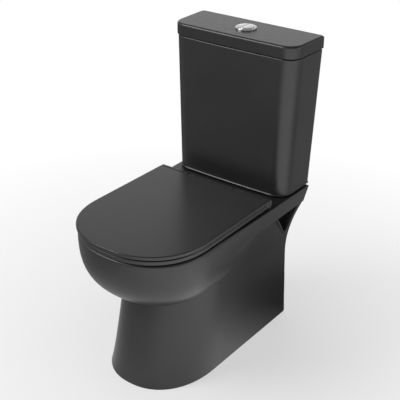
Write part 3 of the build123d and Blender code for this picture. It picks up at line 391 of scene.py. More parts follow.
def basin_rows(wall=0.0):
    """Rows of the basin from its mouth down to the sump."""
    rows = []
    for depth in np.linspace(0, 1, 20):
        share = depth**BASIN_POWER
        half = BASIN_HALF + (SUMP_R - BASIN_HALF) * share + wall
        mouth = (BASIN_BACK - BASIN_FRONT) / 2
        length = mouth + (SUMP_R - mouth) * share + wall
        middle = (BASIN_BACK + BASIN_FRONT) / 2
        middle = middle + (SUMP_Y - middle) * share
        height = PAN_TOP + (SUMP_FLOOR - wall - PAN_TOP) * depth
        rows.append(row(oval_reach(half, length, middle), height))
    return rows


def shell(name, rows, joined=False):
    """A piece from rows of points that go round it. The end rows close to a point each,
    or are joined to each other where the piece is a ring."""
    count, around = len(rows), len(rows[0])
    points = np.vstack(rows)
    faces = []
    for level in range(count if joined else count - 1):
        start, below = level * around, (level + 1) % count * around
        for spoke in range(around):
            beside = (spoke + 1) % around
            faces.append((start + spoke, start + beside, below + beside, below + spoke))
    if not joined:
        points = np.vstack([points, np.mean(rows[0], axis=0), np.mean(rows[-1], axis=0)])
        first, end = count * around, (count - 1) * around
        for spoke in range(around):
            beside = (spoke + 1) % around
            faces.append((first, beside, spoke))
            faces.append((first + 1, end + spoke, end + beside))
    mesh = bpy.data.meshes.new(name)
    mesh.from_pydata(points.tolist(), [], faces)
    tidy = bmesh.new()
    tidy.from_mesh(mesh)
    bmesh.ops.remove_doubles(tidy, verts=tidy.verts, dist=2e-6)
    bmesh.ops.recalc_face_normals(tidy, faces=tidy.faces)
    tidy.to_mesh(mesh)
    tidy.free()
    piece = bpy.data.objects.new(name, mesh)
    bpy.context.scene.collection.objects.link(piece)
    return piece


def spoked_shell(name, rows, joined=False):
    """A shell from rows of reach and height on the pan's spokes."""
    rounds = [np.stack([r[:, 0] * ACROSS, r[:, 0] * ALONG, r[:, 1]], axis=1) for r in rows]
    return shell(name, rounds, joined)


def settle(piece):
    """Turns a piece's modifiers into plain mesh."""
    seen = piece.evaluated_get(bpy.context.evaluated_depsgraph_get())
    mesh = bpy.data.meshes.new_from_object(seen)
    piece.modifiers.clear()
    piece.data = mesh


def carve(piece, tool, operation="DIFFERENCE", keep=False):
    """Cuts, joins or crosses a closed piece with another, which is then dropped."""
    cut = piece.modifiers.new("carve", "BOOLEAN")
    cut.operation = operation
    cut.solver = "MANIFOLD"
    cut.object = tool
    settle(piece)
    if not keep:
        bpy.data.objects.remove(tool)


def tube(name, path, radius, around=32):
    """A round bar along a path that lies near a plane of constant X."""
    path = np.array(path, float)
    way = np.gradient(path, axis=0)
    way /= np.linalg.norm(way, axis=1, keepdims=True)
    angle = np.linspace(0, 2 * math.pi, around, endpoint=False)[:, None]
    side = np.array((1.0, 0.0, 0.0))
    size = np.broadcast_to(radius, len(path))
    rings = []
    for point, ahead, reach in zip(path, way, size):
        up = np.cross(ahead, side)
        rings.append(point + reach * (np.cos(angle) * side + np.sin(angle) * up))
    return shell(name, rings)


def round_path(points, radius, steps=8):
    """A path through points, with its corners rounded."""
    points = [np.array(point, float)[None] for point in points]
    path = [points[0][0]]
    for before, point, after in zip(points, points[1:], points[2:]):
        path += [step[0] for step in corner(before, point, after, radius, steps)]
    return path + [points[-1][0]]


def edge_levels(low, high, low_edge, high_edge, steps=5):
    """Height and inset of each level of a body with a rounded lower and upper edge."""
    lower = [(low, low_edge + 0.001)]
    upper = []
    for angle in np.linspace(0, math.pi / 2, steps + 1):
        lower.append((low + low_edge * (1 - math.cos(angle)), low_edge * (1 - math.sin(angle))))
        upper.append((high - high_edge * (1 - math.sin(angle)), high_edge * (1 - math.cos(angle))))
    return lower + upper + [(high, high_edge + 0.001)]


def turned(name, levels, place, axis=2, around=48):
    """A round piece from levels of place along its axis and radius."""
    angle = np.linspace(0, 2 * math.pi, around, endpoint=False)
    rings = []
    for along, radius in levels:
        ring = np.zeros((around, 3))
        ring[:, axis] = along
        ring[:, (axis + 1) % 3] = place[0] + radius * np.cos(angle)
        ring[:, (axis + 2) % 3] = place[1] + radius * np.sin(angle)
        rings.append(ring)
    return shell(name, rings)


def round_cutter(low, high, radius, place, axis=2):
    """A plain round bar to cut with. Its place is given on the two axes after its own."""
    return turned("cutter", [(low, radius), (high, radius)], place, axis)


def block(low, high):
    """A plain block to cut with, between two corners."""
    rows = []
    for z in (low[2], high[2]):
        plan = ((low[0], low[1]), (high[0], low[1]), (high[0], high[1]), (low[0], high[1]))
        rows.append(np.array([(x, y, z) for x, y in plan], float))
    return shell("cutter", rows)


def smooth_by_angle(piece, degrees=30):
    """Smooth shading, with sharp edges kept where faces meet steeply, weighted by area."""
    piece.data.shade_smooth()
    piece.data.set_sharp_from_angle(angle=math.radians(degrees))
    weight = piece.modifiers.new("weight", "WEIGHTED_NORMAL")
    weight.keep_sharp = True
    settle(piece)


# the casting's outside, from the sump up over the rim and down to the foot
basin = basin_rows()
sides = pan_sides()
basin_lip = corner(row(basin[0][:, 0] + 0.03, PAN_TOP), basin[0], basin[1], BASIN_EDGE, 6)
rim = corner(row(basin[0][:, 0], PAN_TOP), sides[0], sides[2], RIM_EDGE, 6)
under_foot = row(sides[-1][:, 0] - 0.02, 0.0)
foot = corner(sides[-2], sides[-1], under_foot, FOOT_EDGE, 4)
pan = spoked_shell(
    "pan_casting",
    basin[:0:-1] + basin_lip[::-1] + rim + sides[2:-1] + foot + [under_foot],
)

# what is hollow in it, past the basin, the trap and the flush duct
skirt_heights = np.concatenate([[-0.001], np.linspace(0.02, OPEN_BACK_TOP, 14)])
hollow = spoked_shell("hollow", pan_sides(CHINA))
open_back = [row(skirt_reach(max(height, 0), CHINA, OPEN_BACK), height) for height in skirt_heights]
carve(hollow, spoked_shell("open_back", open_back), "UNION")
basin_wall = basin_rows(CHINA)
carve(hollow, spoked_shell("basin_wall", [basin_wall[0] + (0, 0.01)] + basin_wall))
trap_line = round_path(
    (
        (0, SUMP_Y - 0.018, SUMP_FLOOR + TRAP_BORE),
        (0, SUMP_Y + 0.048, SUMP_FLOOR + TRAP_BORE),
        (0, SUMP_Y + 0.112, SUMP_FLOOR + TRAP_BORE + 0.064),
        (0, SUMP_Y + 0.178, OUTLET_HEIGHT),
        (0, OUTLET_END - OUTLET_LENGTH + 0.002, OUTLET_HEIGHT),
    ),
    TRAP_BEND * 0.6,
)
trap = tube("trap", trap_line, TRAP_BORE + TRAP_WALL)
spigot = edge_levels(OUTLET_END - OUTLET_LENGTH, OUTLET_END, 0.004, 0.002)
spigot = [(along, OUTLET_R - inset) for along, inset in spigot]
carve(trap, turned("spigot", spigot, (OUTLET_HEIGHT, 0), 1, 64), "UNION")
carve(hollow, trap, keep=True)
duct_wall = DUCT_FLOOR - TRAP_WALL
duct_low = (-DUCT_HALF - TRAP_WALL, BASIN_BACK, duct_wall)
carve(hollow, block(duct_low, (DUCT_HALF + TRAP_WALL, VALVE_Y, PAN_TOP)))
carve(hollow, round_cutter(duct_wall, PAN_TOP, SOCKET_R + TRAP_WALL, (0, VALVE_Y)))
carve(pan, hollow)
carve(pan, trap, "UNION")
carve(pan, tube("bore", trap_line, TRAP_BORE))
carve(pan, round_cutter(OUTLET_END - OUTLET_LENGTH, 0.3, OUTLET_R - TRAP_WALL, (OUTLET_HEIGHT, 0), 1))
carve(pan, block((-DUCT_HALF, BASIN_BACK - 0.012, DUCT_FLOOR), (DUCT_HALF, VALVE_Y, DUCT_ROOF)))
carve(pan, round_cutter(DUCT_FLOOR, PAN_TOP + 0.01, INLET_R, (0, VALVE_Y)))
carve(pan, round_cutter(PAN_TOP - SOCKET_DEPTH, PAN_TOP + 0.01, SOCKET_R, (0, VALVE_Y)))
through_deck = [(side * HINGE_X, HINGE_Y, STUD_HOLE_R) for side in SIDES]
through_deck += [(side * BOLT_X, VALVE_Y, BOLT_HOLE_R) for side in SIDES]
through_deck += [(FILL_X, VALVE_Y, FILL_HOLE_R)]
for x, y, radius in through_deck:
    carve(pan, round_cutter(PAN_TOP - CHINA - 0.004, PAN_TOP + 0.01, radius, (x, y)))

# a hand reaches the fixings through a three cornered opening in each side, with a rounded lip
for side in SIDES:
    outline = OPENING_FRONT + OPENING_REAR
    rows = [np.array([(x, y, z) for y, z in outline]) for x in (side * 0.1, side * 0.19)]
    carve(pan, shell("opening", rows))
    carve(pan, round_cutter(side * 0.1, side * 0.2, SIDE_HOLE_R, (SIDE_SCREW_Y, SIDE_SCREW_HEIGHT), 0))
    lip = []
    for y, z in round_path([(y, z) for y, z in OPENING_FRONT[::-1]], 0.006, 3):
        half, tip, nose, rear, rear_half = skirt_plan(z)
        share = (y - tip - nose) / (rear - tip - nose)
        lip.append((side * (half + (rear_half - half) * share - LIP_R * 0.15), y - LIP_R * 0.4, z))
    fade = np.sin(np.linspace(0.35, math.pi - 0.25, len(lip))) ** 0.5
    carve(pan, tube("lip", lip, LIP_R * fade, 16), "UNION")
smooth_by_angle(pan)


def surface_grain():
    """One node group for every finish: tone, roughness and relief that change over a surface."""
    group = bpy.data.node_groups.new("surface_grain", "ShaderNodeTree")
    for name, kind, value in (
        ("Colour", "NodeSocketColor", (0.5, 0.5, 0.5, 1)),
        ("Second Colour", "NodeSocketColor", (0.5, 0.5, 0.5, 1)),
        ("Low Roughness", "NodeSocketFloat", 0.3),
        ("High Roughness", "NodeSocketFloat", 0.4),
        ("Patch Scale", "NodeSocketFloat", 8.0),
        ("Grain Scale", "NodeSocketFloat", 300.0),
        ("Stretch", "NodeSocketVector", (1, 1, 1)),
    ):
        socket = group.interface.new_socket(name, in_out="INPUT", socket_type=kind)
        socket.default_value = value
    for name, kind in (
        ("Colour", "NodeSocketColor"),
        ("Roughness", "NodeSocketFloat"),
        ("Relief", "NodeSocketFloat"),
    ):
        group.interface.new_socket(name, in_out="OUTPUT", socket_type=kind)
    given = add_node(group, "NodeGroupInput").outputs
    given_back = add_node(group, "NodeGroupOutput").inputs
    where = add_node(group, "ShaderNodeTexCoord")
    stretched = add_node(group, "ShaderNodeVectorMath", operation="MULTIPLY")
    patches = add_node(group, "ShaderNodeTexNoise", Detail=4.0, Roughness=0.6)
    grain = add_node(group, "ShaderNodeTexNoise", Detail=3.0, Roughness=0.55)
    fine = add_node(group, "ShaderNodeMath", operation="MULTIPLY")
    fine.inputs[1].default_value = 3.7
    speckle = add_node(group, "ShaderNodeTexNoise", Detail=1.0)
    tone = add_node(group, "ShaderNodeMath", operation="MULTIPLY_ADD")
    tone.inputs[1].default_value = 0.35
    spread = add_node(group, "ShaderNodeMapRange", From_Min=0.35, From_Max=0.95)
    mix = add_node(group, "ShaderNodeMix", data_type="RGBA")
    rough = add_node(group, "ShaderNodeMapRange", From_Min=0.3, From_Max=0.7)
    join_up(
        group,
        (where.outputs["Object"], stretched.inputs[0]),
        (given["Stretch"], stretched.inputs[1]),
        (stretched.outputs[0], patches.inputs["Vector"]),
        (stretched.outputs[0], grain.inputs["Vector"]),
        (stretched.outputs[0], speckle.inputs["Vector"]),
        (given["Patch Scale"], patches.inputs["Scale"]),
        (given["Grain Scale"], grain.inputs["Scale"]),
        (given["Grain Scale"], fine.inputs[0]),
        (fine.outputs[0], speckle.inputs["Scale"]),
        (speckle.outputs["Fac"], tone.inputs[0]),
        (patches.outputs["Fac"], tone.inputs[2]),
        (tone.outputs[0], spread.inputs["Value"]),
        (spread.outputs["Result"], mix.inputs["Factor"]),
        (given["Colour"], mix.inputs["A"]),
        (given["Second Colour"], mix.inputs["B"]),
        (mix.outputs["Result"], given_back["Colour"]),
        (grain.outputs["Fac"], rough.inputs["Value"]),
        (given["Low Roughness"], rough.inputs["To Min"]),
        (given["High Roughness"], rough.inputs["To Max"]),
        (rough.outputs["Result"], given_back["Roughness"]),
        (grain.outputs["Fac"], given_back["Relief"]),
    )
    return group


GRAIN = surface_grain()


def finish_of(name, colours, roughness, scales, bump, stretch=(1, 1, 1), **shader_values):
    """A finish: two tones, a span of roughness, patch and grain scales, and the relief's strength
    and depth. Other values go on the shader's own sockets."""
    finish = bpy.data.materials.new(name)
    tree = shader_graph(finish)
    grain = add_node(tree, "ShaderNodeGroup", node_tree=GRAIN)
    for socket, value in (
        ("Colour", colours[0] + (1,)),
        ("Second Colour", colours[1] + (1,)),
        ("Low Roughness", roughness[0]),
        ("High Roughness", roughness[1]),
        ("Patch Scale", scales[0]),
        ("Grain Scale", scales[1]),
        ("Stretch", stretch),
    ):
        grain.inputs[socket].default_value = value
    relief = add_node(tree, "ShaderNodeBump", Strength=bump[0], Distance=bump[1])
    surface = add_node(tree, "ShaderNodeBsdfPrincipled")
    for socket, value in shader_values.items():
        surface.inputs[socket.replace("_", " ")].default_value = value
    out = add_node(tree, "ShaderNodeOutputMaterial")
    join_up(
        tree,
        (grain.outputs["Colour"], surface.inputs["Base Color"]),
        (grain.outputs["Roughness"], surface.inputs["Roughness"]),
        (grain.outputs["Relief"], relief.inputs["Height"]),
        (relief.outputs["Normal"], surface.inputs["Normal"]),
        (surface.outputs[0], out.inputs["Surface"]),
    )
    return finish


def fit(piece, node, body, finish):
    """Gives a finished piece its material and its place among the CAD bodies."""
    piece.data.materials.clear()
    piece.data.materials.append(finish)
    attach(piece, body)
    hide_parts(node)


GLAZE = finish_of(
    "black_ceramic",
    colours=((0.0135, 0.0135, 0.0142), (0.019, 0.019, 0.0198)),
    roughness=(0.30, 0.36),
    scales=(9.0, 90.0),
    bump=(0.04, 0.0006),
    IOR=1.5,
)
fit(pan, "pan", "toilet", GLAZE)

# ---- cistern ----
# The cistern is a second casting in the same black glaze. Its sides lean in towards the foot, its
# front is slightly bowed, with a thin bead round its foot, and two bolts draw it down on rubber.
TANK_LOW, TANK_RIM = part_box("cistern")
TANK_TOP_HALF, TANK_TOP_BACK, TANK_TOP_DEPTH = 0.185, 0.307, 0.130
TANK_LOW_HALF, TANK_LOW_BACK, TANK_LOW_DEPTH = 0.172, 0.296, 0.125
TANK_CORNER, TANK_BOW, TANK_WALL, TANK_FLOOR = 0.042, 0.004, 0.009, 0.012
TANK_FOOT_EDGE, TANK_RIM_EDGE, TANK_INSIDE_EDGE = 0.006, 0.003, 0.010
BEAD_R, BEAD_INSET = 0.0018, 0.0002
BACK_CORNER = 0.008
SHANK_R, FILL_TAIL_R = 0.030, 0.01048
WALL_HOLE_X, WALL_HOLE_R, WALL_HOLE_HEIGHT = 0.120, 0.004, 0.700


def bowed_plan(half, taper, back, depth, radius, bow, inset=0.0):
    """Plan of the cistern or its lid: flat back, rounded front corners and a bowed front."""
    back = back - inset
    front = back - depth + 2 * inset
    narrow = half - inset - taper
    radius = max(radius - inset, 0.001)
    slope = taper / (back - front)
    last = -math.atan(slope)
    start = narrow - radius
    for _ in range(12):
        first = math.atan(2 * bow * start / narrow**2) - math.pi / 2
        middle = (
            start - radius * math.cos(first),
            front - bow * (1 - (start / narrow) ** 2) - radius * math.sin(first),
        )
        side = narrow + slope * (middle[1] + radius * math.sin(last) - front)
        start += side - middle[0] - radius * math.cos(last)
    points = [(x, front - bow * (1 - (x / narrow) ** 2)) for x in np.linspace(0, start, 16)[:-1]]
    for angle in np.linspace(first, last, 15):
        points.append((middle[0] + radius * math.cos(angle), middle[1] + radius * math.sin(angle)))
    end = narrow + slope * (back - BACK_CORNER - front)
    start = points[-1]
    for share in (0.25, 0.5, 0.75):
        away = start[1] * (1 - share) + (back - BACK_CORNER) * share
        points.append((start[0] * (1 - share) + end * share, away))
    for angle in np.linspace(0, math.pi / 2, 6):
        away = BACK_CORNER * math.cos(angle), BACK_CORNER * math.sin(angle)
        points.append((end - BACK_CORNER + away[0], back - BACK_CORNER + away[1]))
    points += [((end - BACK_CORNER) * share, back) for share in (0.66, 0.33, 0)]
    return np.array(points + [(-x, y) for x, y in points[-2:0:-1]])


def level_row(plan, height):
    """One row from a plan laid flat at a height."""
    return np.column_stack([plan, np.full(len(plan), height)])


def tank_row(height, inset):
    """One row round the cistern at a height."""
    share = (height - TANK_LOW.z) / (TANK_RIM.z - TANK_LOW.z)
    half = TANK_LOW_HALF + (TANK_TOP_HALF - TANK_LOW_HALF) * share
    back = TANK_LOW_BACK + (TANK_TOP_BACK - TANK_LOW_BACK) * share
    depth = TANK_LOW_DEPTH + (TANK_TOP_DEPTH - TANK_LOW_DEPTH) * share
    plan = bowed_plan(half, 0, back, depth, TANK_CORNER, TANK_BOW, inset)
    return level_row(plan, height)


inside = edge_levels(TANK_LOW.z + TANK_FLOOR, TANK_RIM.z, TANK_INSIDE_EDGE, 0)[:-2]
inside = [(height, TANK_WALL + inset) for height, inset in inside if height < TANK_RIM.z]
outside = [(TANK_LOW.z, TANK_FOOT_EDGE + 0.001)]
for angle in np.radians(np.linspace(-90, 60, 8)):
    outside.append((TANK_LOW.z + BEAD_R * (1 + math.sin(angle)), BEAD_INSET - BEAD_R * math.cos(angle)))
wall_foot = TANK_LOW.z + 2 * BEAD_R + 0.0006
wall_top = edge_levels(wall_foot, TANK_RIM.z, 0, TANK_RIM_EDGE)[-7:-1]
over_rim = [(height, TANK_WALL - inset) for height, inset in wall_top]
outside += [(wall_foot, 0)] + wall_top
tank_rows = [tank_row(height, inset) for height, inset in inside + over_rim + outside[::-1]]
tank = shell("cistern_casting", tank_rows)
carve(tank, round_cutter(TANK_LOW.z - 0.01, 0.45, SHANK_R + 0.001, (0, VALVE_Y)))
carve(tank, round_cutter(TANK_LOW.z - 0.01, 0.45, FILL_TAIL_R + 0.001, (FILL_X, VALVE_Y)))
for side in SIDES:
    carve(tank, round_cutter(TANK_LOW.z - 0.01, 0.45, BOLT_HOLE_R, (side * BOLT_X, VALVE_Y)))
    carve(tank, round_cutter(0.27, 0.32, WALL_HOLE_R, (WALL_HOLE_HEIGHT, side * WALL_HOLE_X), 1))
smooth_by_angle(tank)
fit(tank, "cistern", "toilet", GLAZE)

# ---- cistern lid ----
# A shallow cast lid with a rounded upper edge lies on pads on the cistern's rim. The push button's
# barrel goes through a hole in its middle and is held by a nut from below.
LID_LOW, LID_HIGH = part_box("cistern_lid")
LID_TAPER, LID_CORNER, LID_BOW = 0.003, 0.038, 0.0025
LID_EDGE, LID_FOOT_EDGE, LID_WALL, LID_SKIN = 0.006, 0.0015, 0.018, 0.010
BARREL_R = 0.023


def lid_row(height, inset):
    """One row round the lid at a height."""
    depth = LID_HIGH.y - LID_LOW.y - LID_BOW
    plan = bowed_plan(LID_HIGH.x, LID_TAPER, LID_HIGH.y, depth, LID_CORNER, LID_BOW, inset)
    return level_row(plan, height)


outside = edge_levels(LID_LOW.z, LID_HIGH.z, LID_FOOT_EDGE, LID_EDGE, 7)[1:]
under = LID_HIGH.z - LID_SKIN
inside = [(under, LID_WALL + 0.005), (under - 0.001, LID_WALL + 0.001), (under - 0.004, LID_WALL)]
inside += [(LID_LOW.z + 0.001, LID_WALL), (LID_LOW.z, LID_WALL - 0.001)]
lid = shell("cistern_lid_casting", [lid_row(*level) for level in inside + outside])
carve(lid, round_cutter(LID_LOW.z, LID_HIGH.z + 0.01, BARREL_R + 0.001, (0, VALVE_Y)))
smooth_by_angle(lid)
fit(lid, "cistern_lid", "toilet", GLAZE)

# ---- push buttons ----
# Two chromed buttons, a small one for half a flush and a larger one for a full flush, slide in a
# chromed bezel. Each pushes a white rod down onto the lifting yoke in the cistern.
BEZEL_LOW, BEZEL_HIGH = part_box("button_bezel")
BEZEL_R, BEZEL_EDGE, BARREL_BORE, BARREL_FLOOR = 0.027, 0.0022, 0.0213, 0.004
BUTTON_R, BUTTON_EDGE, BUTTON_CROWN = 0.021, 0.0014, 0.0006
BUTTON_SPLIT, BUTTON_GAP = -0.003, 0.0003
ROD_X, ROD_HOLE_R = 0.011, 0.0033

CHROME = finish_of(
    "chrome_button",
    colours=((0.56, 0.56, 0.57), (0.66, 0.66, 0.665)),
    roughness=(0.08, 0.16),
    scales=(30.0, 900.0),
    bump=(0.03, 0.0002),
    Metallic=1.0,
)
flange = edge_levels(LID_HIGH.z, BEZEL_HIGH.z, 0.0004, BEZEL_EDGE)[1:-1]
bezel_levels = [(BEZEL_LOW.z + BARREL_FLOOR, 0.010), (BEZEL_LOW.z + BARREL_FLOOR, BARREL_BORE)]
bezel_levels += [(BEZEL_HIGH.z - 0.0012, BARREL_BORE), (BEZEL_HIGH.z - 0.0004, BARREL_BORE + 0.0003)]
bezel_levels += [(BEZEL_HIGH.z, BARREL_BORE + 0.0010)]
bezel_levels += [(height, BEZEL_R - inset) for height, inset in flange[::-1]]
bezel_levels += [(LID_HIGH.z, BARREL_R), (BEZEL_LOW.z, BARREL_R), (BEZEL_LOW.z, 0.010)]
bezel = turned("button_surround", bezel_levels, (0, VALVE_Y), around=96)
for side in SIDES:
    rod_hole = round_cutter(BEZEL_LOW.z - 0.01, BEZEL_LOW.z + 0.01, ROD_HOLE_R, (side * ROD_X, VALVE_Y))
    carve(bezel, rod_hole)
smooth_by_angle(bezel, 40)
fit(bezel, "button_bezel", "toilet", CHROME)


def button_row(side, inset, height):
    """One row round a button, a disc cut off along a line."""
    angle = np.linspace(0, 2 * math.pi, 96, endpoint=False)
    flat = BUTTON_SPLIT + side * (BUTTON_GAP + inset)
    middle = (flat + side * (BUTTON_R - inset)) / 2
    across = middle * np.cos(angle)
    rim = -across + np.sqrt(across**2 - middle**2 + (BUTTON_R - inset) ** 2)
    towards = -side * np.cos(angle)
    cut = np.where(towards > 1e-3, abs(middle - flat) / np.maximum(towards, 1e-3), 1.0)
    reach = soft_least(rim, cut, 0.0012)
    plan = np.column_stack([middle + reach * np.cos(angle), VALVE_Y + reach * np.sin(angle)])
    return level_row(plan, height)


for side, share in ((1, "full"), (-1, "half")):
    low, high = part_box(share + "_flush_button")
    levels = edge_levels(low.z, high.z - BUTTON_CROWN, 0.0004, BUTTON_EDGE)[:-1]
    rows = [button_row(side, inset, height) for height, inset in levels]
    rim = rows[-1]
    for size in (0.93, 0.82, 0.66, 0.45, 0.22):
        crown = rim.mean(axis=0) + (rim - rim.mean(axis=0)) * size
        crown[:, 2] = high.z - BUTTON_CROWN * size**2
        rows.append(crown)
    button = shell(share + "_flush_cap", rows)
    smooth_by_angle(button, 50)
    fit(button, share + "_flush_button", share + "_button", CHROME)

# ---- seat ----
# The seat is pressed from thermoset resin, dyed through and left satin. Along its back runs a
# round bar, concentric with the hinge pins, with a slot for each hinge post.
SEAT_HALF, SEAT_TIP, SEAT_NOSE = 0.174, -0.310, 0.168
SEAT_LOW, SEAT_TOP, SEAT_INSET, SEAT_DRAFT = 0.403, 0.4135, 0.0024, 0.001
COVER_LOW, COVER_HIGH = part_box("cover")
BAR_R = 0.0115
HINGE_HEIGHT = COVER_HIGH.z - BAR_R
SEAT_HOLE_HALF, SEAT_HOLE_FRONT, SEAT_HOLE_REAR = 0.112, -0.250, 0.038
SLOT_WIDTH, SLOT_SHIFT = 0.0352, 0.005
PIN_R = 0.005
PLASTIC = finish_of(
    "black_seat_plastic",
    colours=((0.0150, 0.0150, 0.0155), (0.0195, 0.0195, 0.020)),
    roughness=(0.27, 0.33),
    scales=(14.0, 420.0),
    bump=(0.08, 0.0003),
    IOR=1.5,
)


def seat_reach(inset, rear, rear_corner=DECK_CORNER):
    """Reach of the outline that seat and cover share, smaller all round by an inset."""
    half, tip, nose = SEAT_HALF - inset, SEAT_TIP + inset, SEAT_NOSE - inset
    return outline_reach(half, tip, nose, rear, half - SEAT_DRAFT, rear_corner)


def loop_rows(corners):
    """Rows round a ring's section, from its corners and the radius of each."""
    rows = []
    for place, (point, radius) in enumerate(corners):
        before, after = corners[place - 1][0], corners[(place + 1) % len(corners)][0]
        rows += corner(before, point, after, radius, 5)
    return rows


outer = seat_reach(SEAT_INSET, HINGE_Y)
hole_middle = (SEAT_HOLE_FRONT + SEAT_HOLE_REAR) / 2
hole_length = (SEAT_HOLE_REAR - SEAT_HOLE_FRONT) / 2
hole = oval_reach(SEAT_HOLE_HALF, hole_length, hole_middle)
seat_corners = (
    (row(outer, SEAT_TOP), 0.003),
    (row(outer, SEAT_LOW), 0.002),
    (row(hole, SEAT_LOW), 0.002),
    (row(hole, SEAT_TOP), 0.0045),
)
seat = spoked_shell("seat_moulding", loop_rows(seat_corners), joined=True)
bar_end = SEAT_HALF - SEAT_DRAFT
bar = [(along, BAR_R - inset) for along, inset in edge_levels(-bar_end, bar_end, 0.003, 0.003)]
carve(seat, turned("bar", bar, (HINGE_Y, HINGE_HEIGHT), 0, 64), "UNION")
for side in SIDES:
    middle = side * (HINGE_X + SLOT_SHIFT)
    slot_low = (middle - SLOT_WIDTH / 2, HINGE_Y - 0.0145, SEAT_LOW - 0.001)
    carve(seat, block(slot_low, (middle + SLOT_WIDTH / 2, HINGE_Y + 0.0225, 0.43)))
    pin_hole = (side * (HINGE_X - SLOT_WIDTH), side * (HINGE_X + 0.04))
    carve(seat, round_cutter(min(pin_hole), max(pin_hole), PIN_R, (HINGE_Y, HINGE_HEIGHT), 0))
smooth_by_angle(seat)
fit(seat, "seat", "seat", PLASTIC)

# ---- cover ----
# The cover is pressed from the same resin, with a solid rim round its hollow underside. Its back
# edge is hollowed to lie against the seat's bar, and turns on the same pins.
COVER_REAR, COVER_CORNER = 0.105, 0.005
COVER_EDGE, COVER_RIM, COVER_HEEL, COVER_SKIN = 0.003, 0.010, 0.030, 0.005
LUG_X, LUG_WIDTH, LUG_ARM, LUG_THICK = 0.0848, 0.010, 0.024, 0.008
BAR_CLEARANCE = 0.0003

outer = seat_reach(0, COVER_REAR, COVER_CORNER)
inner = seat_reach(COVER_RIM, COVER_REAR - COVER_HEEL)
cover_points = (
    row(outer - 0.03, COVER_HIGH.z),
    row(outer, COVER_HIGH.z),
    row(outer, COVER_LOW.z),
    row(inner, COVER_LOW.z),
    row(inner, COVER_HIGH.z - COVER_SKIN),
    row(inner - 0.02, COVER_HIGH.z - COVER_SKIN),
)
cover_rows = [cover_points[0]]
for place, radius in ((1, COVER_EDGE), (2, 0.0012), (3, 0.001), (4, 0.002)):
    cover_rows += corner(*cover_points[place - 1 : place + 2], radius, 6)
cover = spoked_shell("cover_moulding", cover_rows + [cover_points[5]])
clearance = round_cutter(-0.18, 0.18, BAR_R + BAR_CLEARANCE, (HINGE_Y, HINGE_HEIGHT), 0)
carve(cover, clearance)
for side in SIDES:
    ends = sorted((side * LUG_X, side * (LUG_X + LUG_WIDTH)))
    pocket = COVER_HIGH.z - 0.001 - LUG_THICK
    carve(cover, block((ends[0], HINGE_Y - LUG_ARM, pocket), (ends[1], HINGE_Y, pocket + LUG_THICK)))
smooth_by_angle(cover)
fit(cover, "cover", "cover", PLASTIC)

# ---- hinges ----
# Two die cast posts in a black powder coat stand on the deck, each on a round foot, and are drawn
# down by a stud. Stainless pins run through them into the seat's bar and the cover's lugs.
POST_WIDTH, POST_R, POST_EDGE, POST_FOOT_R, POST_FOOT = 0.024, 0.010, 0.0014, 0.020, 0.0025
PIN_FIT = 0.00005

HINGE_COAT = finish_of(
    "black_hinge",
    colours=((0.022, 0.022, 0.0225), (0.032, 0.032, 0.033)),
    roughness=(0.28, 0.40),
    scales=(40.0, 1400.0),
    bump=(0.15, 0.0002),
    IOR=1.5,
)
posts = None
for side in SIDES:
    rows = []
    left = side * HINGE_X - POST_WIDTH / 2
    for x, inset in edge_levels(left, left + POST_WIDTH, POST_EDGE, POST_EDGE):
        radius = POST_R - inset
        section = [(x, HINGE_Y + radius, PAN_TOP + 0.0005)]
        for angle in np.linspace(0, math.pi, 25):
            away = radius * math.cos(angle), radius * math.sin(angle)
            section.append((x, HINGE_Y + away[0], HINGE_HEIGHT + away[1]))
        rows.append(np.array(section + [(x, HINGE_Y - radius, PAN_TOP + 0.0005)]))
    post = shell("hinge_post_castings", rows)
    plate = edge_levels(PAN_TOP, PAN_TOP + POST_FOOT, 0.0003, 0.001)
    plate = [(height, POST_FOOT_R - inset) for height, inset in plate]
    carve(post, turned("foot", plate, (side * HINGE_X, HINGE_Y)), "UNION")
    ends = (left - 0.001, left + POST_WIDTH + 0.001)
    carve(post, round_cutter(*ends, PIN_R + PIN_FIT, (HINGE_Y, HINGE_HEIGHT), 0))
    if posts:
        carve(posts, post, "UNION")
    else:
        posts = post
smooth_by_angle(posts)
fit(posts, "hinge_posts", "toilet", HINGE_COAT)

# ---- buffers, seals and washers ----
# Round pads and rings, moulded in rubber or stamped from zinc plated steel. Buffers keep the
# seat off the china and the cover off the seat, and seals keep the water in at each hole.
RING_ROUND = 48
BODIES = frame["record"]["behaviour"]["bodies"]
BODY_OF = {node: body for body, nodes in BODIES.items() for node in nodes}
SLOT_OF = {part["node"]: part["material_slot"] for part in frame["record"]["subparts"]}

